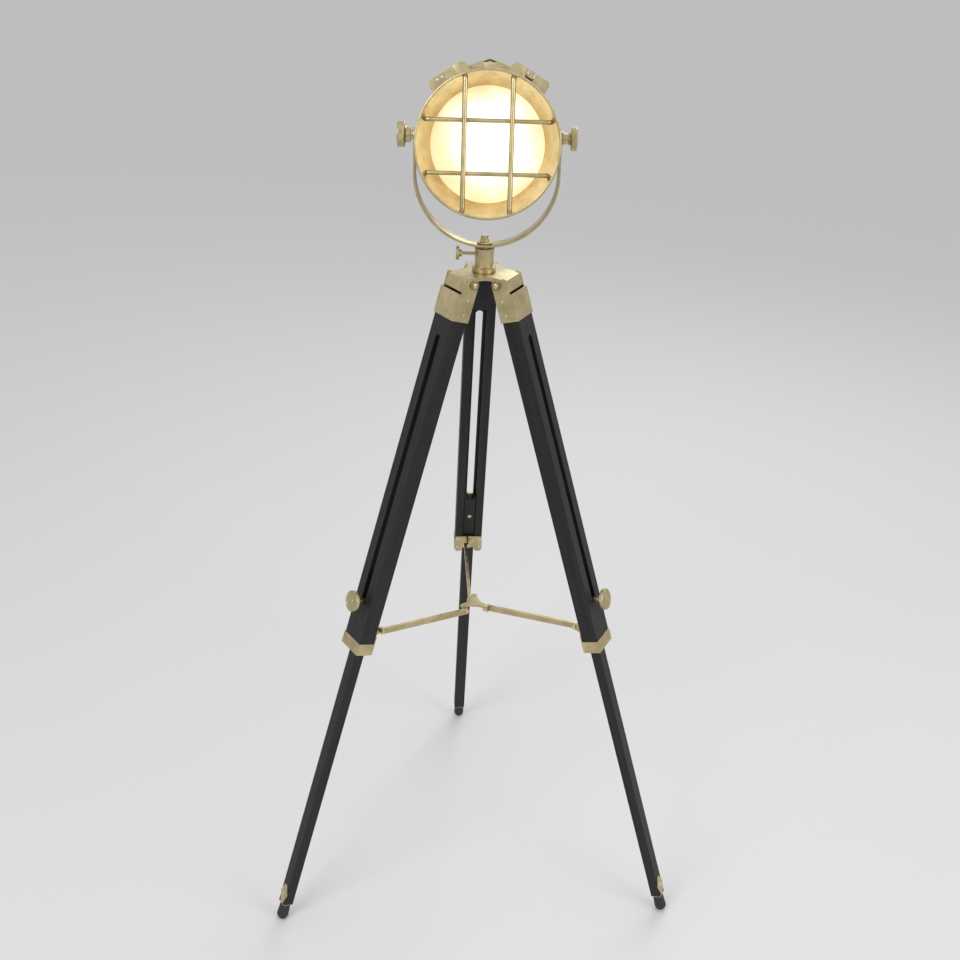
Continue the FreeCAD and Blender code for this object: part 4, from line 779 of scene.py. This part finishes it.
@dataclass
class FrontDoor(Assembly):
    """Ring, guard bars, lens and the plates on the ring."""

    axes: HeadAxes
    ring_radius: float = 105.5 * MM
    ring_front: float = 90 * MM
    ring_rear: float = 45 * MM
    lip_radius: float = 102.5 * MM
    throat_radius: float = 83 * MM
    seat_radius: float = 96.5 * MM
    throat_land: float = 1 * MM
    posts: Bars = Bars("guard_post", 3.7 * MM, 99.6 * MM, 88 * MM, (-34 * MM, 34 * MM))
    rails: Bars = Bars("guard_rail", 3.2 * MM, 95.8 * MM, 81.4 * MM, (-33.5 * MM, 40.5 * MM))
    bend: float = 5 * MM
    root: float = 12 * MM
    weld_radius: float = 4.2 * MM
    weld_height: float = 1.6 * MM
    weld_shift: float = 0.1 * MM
    leaf_side: float = math.radians(32)
    leaf_face: float = 51 * MM
    leaf_rise: float = 7.25 * MM
    leaf_screws: Pair = (-16 * MM, -8 * MM)

    def build(self) -> None:
        """Build and dress the door."""
        shades = self.palette
        fit(self.ring(), "front_door", "spun_metal", shades.spun, "front_ring")
        for bars in (self.posts, self.rails):
            for number in range(len(bars.offsets)):
                stands_for = ("guard_grille",) if bars is self.posts and number == 0 else ()
                fit(self.bar(bars, number), "front_door", "sheet_metal", shades.cast, *stands_for)
        crossings = ((x, y) for x in self.posts.offsets for y in self.rails.offsets)
        for number, (across, level) in enumerate(crossings):
            fit(self.weld(f"guard_weld_{number}", across, level), "front_door", "sheet_metal", shades.cast)
        refine("front_door", "front_glass", shades.lens, 0.8 * MM, "glass_lens", crease=50.0)
        refine("front_door", "gasket_rubber", shades.rubber, 0.6 * MM, "lens_gasket")
        refine("front_door", "sheet_metal", shades.plate, 0.6 * MM, "hinge_leaf", "clasp_plate")
        for number in range(len(self.leaf_screws)):
            fit(self.leaf_screw(number), "front_door", "cast_metal", shades.steel)

    def ring(self) -> Object:
        """Turned ring with a rolled lip, a cone and a rounded land round the lens.

        Returns:
            The ring.
        """
        lens = self.axes.lens_front
        profile = rounded([
            (-self.ring_rear, self.seat_radius), (-lens, self.seat_radius),
            (-lens, self.throat_radius + 0.2 * MM, 0.4 * MM),
            (-lens - self.throat_land, self.throat_radius, 0.8 * MM),
            (-self.ring_front + 2.2 * MM, self.lip_radius - 1.4 * MM, 3 * MM),
            (-self.ring_front, self.lip_radius - 0.4 * MM, 1.2 * MM),
            (-self.ring_front, self.ring_radius, 1.8 * MM), (-self.ring_rear, self.ring_radius, 0.8 * MM)],
            closed=True)
        return lathe("front_ring_turned", profile, self.axes.place, 256, closed=True)

    def bar(self, bars: Bars, number: int) -> Object:
        """One round bar whose ends bend back into the ring.

        Its half length is the square root of circle^2 - offset^2.

        Args:
            bars: the kind of bar.
            number: the bar's number among its kind.

        Returns:
            The bar.
        """
        offset, root = bars.offsets[number], bars.plane - self.root
        reach = math.sqrt(bars.circle ** 2 - offset ** 2)
        chain = rounded([(-root, -reach), (-bars.plane, -reach, self.bend), (-bars.plane, reach, self.bend),
                         (-root, reach)], steps=10)
        across, along = (0, 1) if bars is self.posts else (1, 0)
        local = np.full((len(chain), 3), offset)
        local[:, along], local[:, 2] = chain[:, 1], chain[:, 0]
        return sweep(f"{bars.name}_{number}", circle_section(bars.radius), carried(local, self.axes.place),
                     self.axes.place[:3, across])

    def leaf_screw(self, number: int) -> Object:
        """Cross-headed screw in the bar of the hinge leaf.

        Args:
            number: the screw's number.

        Returns:
            The screw head.
        """
        turn = Matrix.Rotation(-self.leaf_side, 3, "Z")
        x, y, _ = turn @ Vector((self.leaf_screws[number], -self.ring_radius - self.leaf_rise, 0))
        place = self.axes.place
        seat = carried(np.array([x, y, -self.leaf_face]), place)
        out = basis(seat, place[:3, 0], -place[:3, 2])
        return cross_head(f"leaf_screw_{number}", out, HeadSize.LEAF)

    def weld(self, name: str, across: float, level: float) -> Object:
        """Low bead of weld between a post and a rail that cross.

        The bead is a lens whose radius falls as the cosine of the height share.

        Args:
            name: the object's name.
            across: x of the crossing.
            level: y of the crossing.

        Returns:
            The bead.
        """
        middle = (self.posts.plane + self.rails.plane) / 2 + self.weld_shift
        share = np.linspace(-1, 1, 9)
        profile = np.stack([share * self.weld_height, self.weld_radius * np.cos(share * math.pi / 2)], axis=1)
        head = self.axes.place
        place = basis(carried(np.array([across, level, -middle]), head), head[:3, 0], head[:3, 2])
        return lathe(name, profile, place, 40)


@dataclass(frozen=True)
class Turning:
    """Section of a knob, and the levels between which its rim is knurled, in millimetres from its seat.

    A corner is (level, radius) or (level, radius, rounding).
    """

    corners: tuple[tuple[float, ...], ...]
    rim: Pair
    teeth: int = 72


class KnobShape(Enum):
    """The turned shapes; in each, a line of corners for each part of it, from the seat outwards."""

    WIDE = Turning((
        (0, 0), (0, 7.5), (3.9, 7.5),
        (3.9, 11.7, 0.6), (10.2, 11.7, 1.5), (12.2, 13.7),
        (12.2, 18.7, 1.5), (23.7, 18.7, 1.5),
        (23.7, 14.5, 0.4), (22.5, 14, 0.4), (22.5, 5.5, 0.4), (23.5, 5, 0.5), (23.5, 0)), (13.7, 22.2))
    SLIM = Turning((
        (0, 0), (0, 10, 0.4), (1.6, 10, 0.4),
        (1.6, 8), (9, 8, 2), (13, 11),
        (13, 17.7, 1.2), (21.9, 17.7, 1.5),
        (21.9, 13.5, 0.4), (20.8, 13, 0.4), (20.8, 5, 0.4), (21.7, 4.5, 0.5), (21.7, 0)), (14.2, 20.4))
    CLAMP = Turning((
        (-26.8, 0), (-26.8, 4, 0.6), (0.3, 4),
        (0.3, 6, 0.5), (11.5, 6), (11.5, 9.3, 0.8), (17, 9.3),
        (17, 17.5, 1), (23, 17.5, 1),
        (23, 14.5, 0.3), (22.2, 14, 0.3), (22.2, 3.6, 0.3), (23, 3.2, 0.5), (23, 0)), (18.1, 21.9), 60)
    LOCK = Turning((
        (-34.6, 0), (-34.6, 2.5, 0.4), (-4, 2.5),
        (-4, 6, 0.8), (0, 6),
        (0, 10.7, 0.8), (5, 10.7, 0.8), (5, 0)), (0.9, 4.1), 40)


@dataclass
class Knob:
    """A turned knob with a knurled rim; its place has its origin on the seat and z along its axis."""

    node: str
    body: str
    place: Array
    shape: KnobShape
    depth: float = 0.35 * MM
    fade: float = 0.6 * MM
    skin: float = 0.3 * MM

    def build(self, material: Material) -> None:
        """Build and dress the knob.

        Args:
            material: its material.
        """
        turning = self.shape.value
        profile = rounded([[value * MM for value in corner] for corner in turning.corners], steps=4)
        low, high = (level * MM for level in turning.rim)
        rings, rim_radius = np.linspace(low, high, 9)[1:-1], profile[:, 1].max()
        at = int(np.searchsorted(profile[:, 0], (low + high) / 2))
        profile = np.insert(profile, at, np.stack([rings, np.full(len(rings), rim_radius)], axis=1), axis=0)

        def ripple(level: Array, radius: Array, angle: Array) -> Array:
            """Flutes: the rim sinks by the depth times 1 - |cos(teeth * a / 2)|, and less near its ends.

            Args:
                level: heights of the profile's points.
                radius: their radii.
                angle: angles around the axis.

            Returns:
                The extra radius, which is negative in a flute.
            """
            share = np.clip(np.minimum(level - low, high - level) / self.fade, 0, 1)
            share = share * (radius > rim_radius - self.skin)
            return -self.depth * share * (1 - np.abs(np.cos(angle * turning.teeth / 2)))

        piece = lathe(f"{self.node}_knurled", profile, self.place, turning.teeth * 6, ripple=ripple)
        fit(piece, self.body, "cast_metal", material, self.node)


@dataclass
class Yoke(Assembly):
    """U strip, its stud, washer and nut, and the two tilt knobs."""

    half_width: float = 110.5 * MM
    strip: float = 4 * MM
    wide: float = 22 * MM
    seat: float = 1180 * MM
    edge: float = 0.7 * MM
    knob_gap: float = 0.3 * MM

    def build(self) -> None:
        """Build and dress the yoke."""
        fit(self.band(), "yoke", "sheet_metal", self.palette.plate, "yoke_band")
        refine("yoke", "cast_metal", self.palette.cast, 0.4 * MM, "yoke_washer", "yoke_nut", crease=25.0)
        dress_node("swivel_stud", self.palette.steel)
        for side, way, shape in (("left", -1, KnobShape.WIDE), ("right", 1, KnobShape.SLIM)):
            out = np.array([way, 0, 0])
            seat = joint_place("tilt") + out * (self.half_width + self.knob_gap)
            place = basis(seat, UP, out)
            Knob(f"tilt_knob_{side}", f"knob_{side}", place, shape).build(self.palette.cast)

    def band(self) -> Object:
        """Strip bent to a U, its edges rounded and its ends full round.

        Past the pivot the half width falls as the square root of R^2 - d^2, to just short of nothing.

        Returns:
            The band.
        """
        pivot = joint_place("tilt")
        half, thin = self.wide / 2, self.strip / 2
        middle, centre = self.half_width - thin, self.seat + self.half_width
        top = half * np.sin(np.linspace(math.pi / 2, 0, 14))[:-1] * 0.999
        straight = np.linspace(0, centre - pivot[2], 8)
        swing = np.linspace(math.pi, 2 * math.pi, 97)[1:-1]
        left = np.stack([np.full(len(top) + len(straight), -middle),
                         np.concatenate([pivot[2] + top, pivot[2] + straight])], axis=1)
        bend = np.stack([middle * np.cos(swing), centre + middle * np.sin(swing)], axis=1)
        plane = np.concatenate([left, bend, left[::-1] * np.array([-1, 1])])
        path = np.stack([pivot[0] + plane[:, 0], np.full(len(plane), pivot[1]), plane[:, 1]], axis=1)
        beyond = np.clip(path[:, 2] - pivot[2], 0, None)
        widen = np.sqrt(np.clip(1 - (beyond / half) ** 2, 0.002, 1))
        corners = ((-thin, -half), (thin, -half), (thin, half), (-thin, half))
        section = rounded([(*corner, self.edge) for corner in corners], closed=True, steps=3)
        return sweep("yoke_strip", section, path, (0.0, 1.0, 0.0), widen)


@dataclass
class Clasp(Assembly):
    """The lever that holds the door shut."""

    def build(self) -> None:
        """Build and dress the lever."""
        refine("clasp", "sheet_metal", self.palette.plate, 0.5 * MM, "clasp_lever")


@dataclass
class Crown(Assembly):
    """Top of the tripod: cast crown, post, bolts and the pan lock screw."""

    disc_start: float = 39 * MM
    boss_face: float = 28.9 * MM

    def build(self) -> None:
        """Build and dress the crown."""
        refine("crown_group", "cast_metal", self.palette.cast, 1.0 * MM, "crown", crease=30.0)
        refine("crown_group", "cast_metal", self.palette.cast, 0.5 * MM, "post_socket", crease=25.0)
        # The hinge bolts take the darker brass copy, which is painted shade.
        refine("crown_group", "cast_metal", self.palette.shade_brass, 0.7 * MM, "hinge_bolts", crease=35.0)
        for leg in Leg:
            self.bolt_domes(leg)
        out = np.array([-1, 0, 0])
        seat = joint_place("pan_lock_turn") + out * self.disc_start
        place = basis(seat, UP, out)
        Knob("pan_lock_screw", "pan_lock", place, KnobShape.LOCK).build(self.palette.cast)

    def bolt_domes(self, leg: Leg) -> None:
        """Domes on both ends of a leg's hinge bolt, in the lighter brass copy that is painted highlight.

        Args:
            leg: the leg.
        """
        hinge, along = joint_place(f"leg_{leg.value}_fold"), joint_axis(f"leg_{leg.value}_fold")
        for number, way in enumerate((-along, along)):
            place = basis(hinge + way * self.boss_face, UP, way)
            head = dome_head(f"bolt_dome_{leg.value}_{number}", place, HeadSize.BOLT)
            fit(head, "crown_group", "cast_metal", self.palette.bright)


@dataclass
class TripodLeg(Assembly):
    """One telescopic leg, in a frame with x outwards, y along the hinge and z up the leg."""

    leg: Leg
    wood_outer: float = 21.5 * MM
    wood_inner: float = -6.5 * MM
    cap_side: float = 26.5 * MM
    cap_screw_out: float = 2.8 * MM
    cap_levels: Pair = (-26.7 * MM, -49.2 * MM)
    spade_face: float = 14.4 * MM
    spade_rise: float = 21.2 * MM
    bracket_sheet: float = 2 * MM
    bracket_side: float = 20.5 * MM
    bracket_levels: Pair = (-612 * MM, -632 * MM)
    loop_side: float = -6 * MM
    loop_level: float = -616 * MM
    loop_radius: float = 4.2 * MM
    wire_radius: float = 1.1 * MM
    place: Array = field(init=False)
    wood: Material = field(init=False)

    def __post_init__(self) -> None:
        """Set the leg's frame and make its own wood."""
        hinge, up = joint_place(f"leg_{self.leg.value}_fold"), joint_axis(f"leg_{self.leg.value}_slide")
        along = joint_axis(f"leg_{self.leg.value}_fold")
        self.place = basis(hinge, np.cross(along, up), up)
        turn = Matrix(self.place[:3, :3].T.tolist()).to_euler()
        self.wood = Wood(f"black_wood_{self.leg.value}", tuple(turn)).make()

    def named(self, word: str) -> str:
        """The name that a node or a body has on this leg."""
        return f"{word}_{self.leg.value}"

    def build(self) -> None:
        """Build and dress the leg."""
        upper, lower, plate = self.named("leg"), self.named("slide"), self.palette.plate
        for node, body, width in (
                ("leg_cap", upper, 0.5), ("collar", upper, 0.35), ("brace_bracket", upper, 0.5),
                ("foot_plate", lower, 0.4), ("brace_arm", self.named("brace"), 0.35)):
            refine(body, "sheet_metal", plate, width * MM, self.named(node))
        refine(upper, "black_wood", self.wood, 0.8 * MM, self.named("upper_leg"), crease=30.0)
        refine(lower, "black_wood", self.wood, 0.8 * MM, self.named("lower_leg"), crease=30.0)
        refine(lower, "rubber", self.palette.rubber, 0.5 * MM, self.named("rubber_foot"), crease=40.0)
        self.cap_screws()
        self.spade_screw()
        self.bracket_fittings()
        self.clamp()

    def screw(self, name: str, body: str, spot: Triple, way: Triple, size: HeadSize) -> None:
        """Fit one cross-headed screw.

        Args:
            name: the object's name.
            body: the body that it rides on.
            spot: place of its seat in the leg's frame.
            way: direction out of the seat in the leg's frame.
            size: the head's size.
        """
        place = basis(carried(np.array(spot), self.place), self.place[:3, 2],
                      self.place[:3, :3] @ np.array(way, float))
        fit(cross_head(name, place, size), body, "cast_metal", self.palette.steel)

    def cap_screws(self) -> None:
        """Two screws through each cheek of the cap."""
        spots = [(side, level) for side in (-1, 1) for level in self.cap_levels]
        for number, (side, level) in enumerate(spots):
            self.screw(f"cap_screw_{self.leg.value}_{number}", self.named("leg"),
                       (self.cap_screw_out, side * self.cap_side, level), (0, side, 0), HeadSize.CAP)

    def spade_screw(self) -> None:
        """Screw on the outer face of the spade plate, a set height above its lowest corner."""
        plate = frame["nodes"][self.named("foot_plate")].data
        corners = np.array([vertex.co for vertex in plate.vertices])
        low = ((corners - self.place[:3, 3]) @ self.place[:3, 2]).min()
        self.screw(self.named("spade_screw"), self.named("slide"),
                   (self.spade_face, 0, low + self.spade_rise), (1, 0, 0), HeadSize.SPADE)

    def bracket_fittings(self) -> None:
        """Wire ring and four screws on the inner face of the brace bracket."""
        face, body = self.wood_inner - self.bracket_sheet, self.named("leg")
        wire = circle_section(self.wire_radius, 16)[:, ::-1] + np.array([0, self.loop_radius])
        centre = carried(np.array([face - self.wire_radius, self.loop_side, self.loop_level]), self.place)
        place = basis(centre, self.place[:3, 2], self.place[:3, 0])
        loop = lathe(self.named("bracket_ring"), wire, place, 40, closed=True)
        # The wire ring takes the lighter brass copy, which is painted highlight.
        fit(loop, body, "cast_metal", self.palette.bright)
        spots = [(side, level) for side in (-1, 1) for level in self.bracket_levels]
        for number, (side, level) in enumerate(spots):
            self.screw(f"bracket_screw_{self.leg.value}_{number}", body,
                       (face, side * self.bracket_side, level), (-1, 0, 0), HeadSize.BRACKET)

    def clamp(self) -> None:
        """Clamp bolt with its hub and knurled disc, seated on the outer face of the wood."""
        body, along = self.named("clamp"), self.place[:3, 0]
        centre = joint_place(f"{body}_turn")
        seat = centre + along * (self.wood_outer - np.dot(centre - self.place[:3, 3], along))
        place = basis(seat, self.place[:3, 2], along)
        Knob(self.named("clamp_knob"), body, place, KnobShape.CLAMP).build(self.palette.cast)


@dataclass
class Spreader(Assembly):
    """Hub of the three brace arms, and the rivets at both ends of each arm."""

    pin_circle: float = 21 * MM
    slope: float = math.radians(5.2)
    near_face: float = 1.0 * MM
    arm_face: float = 9.3 * MM
    pin_end: float = 9.6 * MM

    def build(self) -> None:
        """Build and dress the hub and the rivets."""
        refine("hub", "sheet_metal", self.palette.plate, 0.5 * MM, "brace_hub")
        for leg in Leg:
            self.rivets(leg)

    def rivets(self, leg: Leg) -> None:
        """Rivet heads over the pins of one brace, in the lighter brass copy that is painted highlight: two at
        the leg and two at the hub.

        The hub's pin lies lower than the leg's by the brace's level reach times the tangent of its slope.

        Args:
            leg: the leg that carries the brace.
        """
        pin, along = joint_place(f"brace_{leg.value}_swing"), joint_axis(f"leg_{leg.value}_fold")
        reach = (joint_place("pan") - pin) * np.array([1, 1, 0])
        level = np.linalg.norm(reach) - self.pin_circle
        inner = pin + reach / np.linalg.norm(reach) * level - np.array([0, 0, level * math.tan(self.slope)])
        upper, brace = f"leg_{leg.value}", f"brace_{leg.value}"
        spots = ((pin, -along, -self.near_face, upper), (pin, along, self.pin_end, upper),
                 (inner, -along, -self.near_face, "hub"), (inner, along, self.arm_face, brace))
        for number, (centre, way, out, body) in enumerate(spots):
            place = basis(centre + way * out, UP, way)
            head = dome_head(f"brace_rivet_{leg.value}_{number}", place, HeadSize.RIVET)
            fit(head, body, "cast_metal", self.palette.bright)


# ---------------- studio
@dataclass(frozen=True)
class AreaLight:
    """A soft square light: where it stands from the tripod's axis, its side in metres and its watts."""

    name: str
    place: Triple
    size: float
    power: float


@dataclass
class Studio:
    """Plain pale floor, soft lights and the camera."""

    distance: float = 2.0
    eye_height: float = 1.7796
    yaw: float = math.radians(0.10)
    pitch: float = math.radians(26.65)
    roll: float = math.radians(1.70)
    lens: float = 50.0
    film: float = 36.0
    view_end: float = 60.0
    lights: tuple[AreaLight, ...] = (
        AreaLight("key_light", (-1.5, -2.0, 2.9), 1.6, 36.0),
        AreaLight("fill_light", (2.1, -1.5, 1.9), 1.5, 17.0),
        AreaLight("back_light", (0.8, 2.1, 2.6), 1.5, 20.0))
    light_aim: float = 0.85
    floor_radius: float = 45.0
    floor_rings: int = 24
    floor_colour: Triple = (0.74, 0.735, 0.72)
    sky_colour: Triple = (0.97, 0.97, 1.0)
    sky_power: float = 0.66
    seen_sky_power: float = 0.8

    def build(self) -> None:
        """Set the floor, the world, the lights and the camera."""
        axis = joint_place("pan")
        self.floor()
        self.world()
        for light in self.lights:
            self.lamp(light, axis)
        self.camera(axis)

    def floor(self) -> None:
        """A wide pale disc under the feet; its rings' radii grow as the square of their number."""
        radius = np.linspace(0, 1, self.floor_rings) ** 2 * self.floor_radius
        disc = lathe("floor", np.stack([0 * radius, radius], axis=1), np.eye(4), 64)
        nodes = Nodes.named("pale_floor")
        nodes.shade(Base_Color=(*self.floor_colour, 1), Roughness=0.55)
        disc.data.materials.append(nodes.owner)

    def world(self) -> None:
        """Pale surroundings; the camera, glossy and transmission rays see them a little brighter."""
        world = bpy.data.worlds.new("studio")
        bpy.context.scene.world = world
        world.use_nodes = True
        nodes = Nodes(world, "Background")
        rays = nodes.add("LightPath").node.outputs
        seen = rays["Is Camera Ray"]
        for ray in ("Is Glossy Ray", "Is Transmission Ray"):
            seen = nodes.add("Math", seen, rays[ray], operation="MAXIMUM")
        power = nodes.ramp(seen, 0.0, 1.0, self.sky_power, self.seen_sky_power)
        nodes.shade(Color=(*self.sky_colour, 1), Strength=power)

    def lamp(self, light: AreaLight, axis: Array) -> None:
        """Set up a light that faces the middle of the lamp.

        Args:
            light: the light.
            axis: a point on the tripod's axis.
        """
        data = bpy.data.lights.new(light.name, "AREA")
        data.shape = "SQUARE"
        data.size = light.size
        data.energy = light.power
        piece = linked(light.name, data)
        place = Vector(np.array(light.place) + np.array([axis[0], axis[1], 0]))
        piece.location = place
        piece.rotation_euler = (Vector((0, 0, self.light_aim)) - place).to_track_quat("-Z", "Y").to_euler()

    def camera(self, axis: Array) -> None:
        """The camera: yaw, pitch and roll about a point in front of the tripod's axis.

        Args:
            axis: a point on the tripod's axis.
        """
        data = bpy.data.cameras.new("camera")
        data.lens = self.lens
        data.sensor_width = self.film
        data.clip_end = self.view_end
        camera = linked("camera", data)
        level = math.cos(self.pitch)
        right = np.array([math.cos(self.yaw), -math.sin(self.yaw), 0.0])
        ahead = np.array([math.sin(self.yaw) * level, math.cos(self.yaw) * level, -math.sin(self.pitch)])
        upward = np.cross(right, ahead)
        x_axis = right * math.cos(self.roll) + upward * math.sin(self.roll)
        y_axis = upward * math.cos(self.roll) - right * math.sin(self.roll)
        turn = Matrix(np.stack([x_axis, y_axis, -ahead], axis=1).tolist()).to_4x4()
        place = Vector((axis[0], axis[1] - self.distance, self.eye_height))
        camera.matrix_world = Matrix.Translation(place) @ turn
        bpy.context.scene.camera = camera


def main() -> None:
    """Build the lamp's pieces in order, then the studio around it."""
    logging.basicConfig(level=logging.INFO, format="%(name)s: %(message)s")
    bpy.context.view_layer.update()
    bpy.context.scene.view_settings.view_transform = "Standard"
    axes = HeadAxes()
    palette = Palette(axes)
    Head(palette).build()
    FrontDoor(palette, axes).build()
    Clasp(palette).build()
    Yoke(palette).build()
    Crown(palette).build()
    for leg in Leg:
        TripodLeg(palette, leg).build()
    Spreader(palette).build()
    Studio().build()


if __name__ == "__main__":
    main()
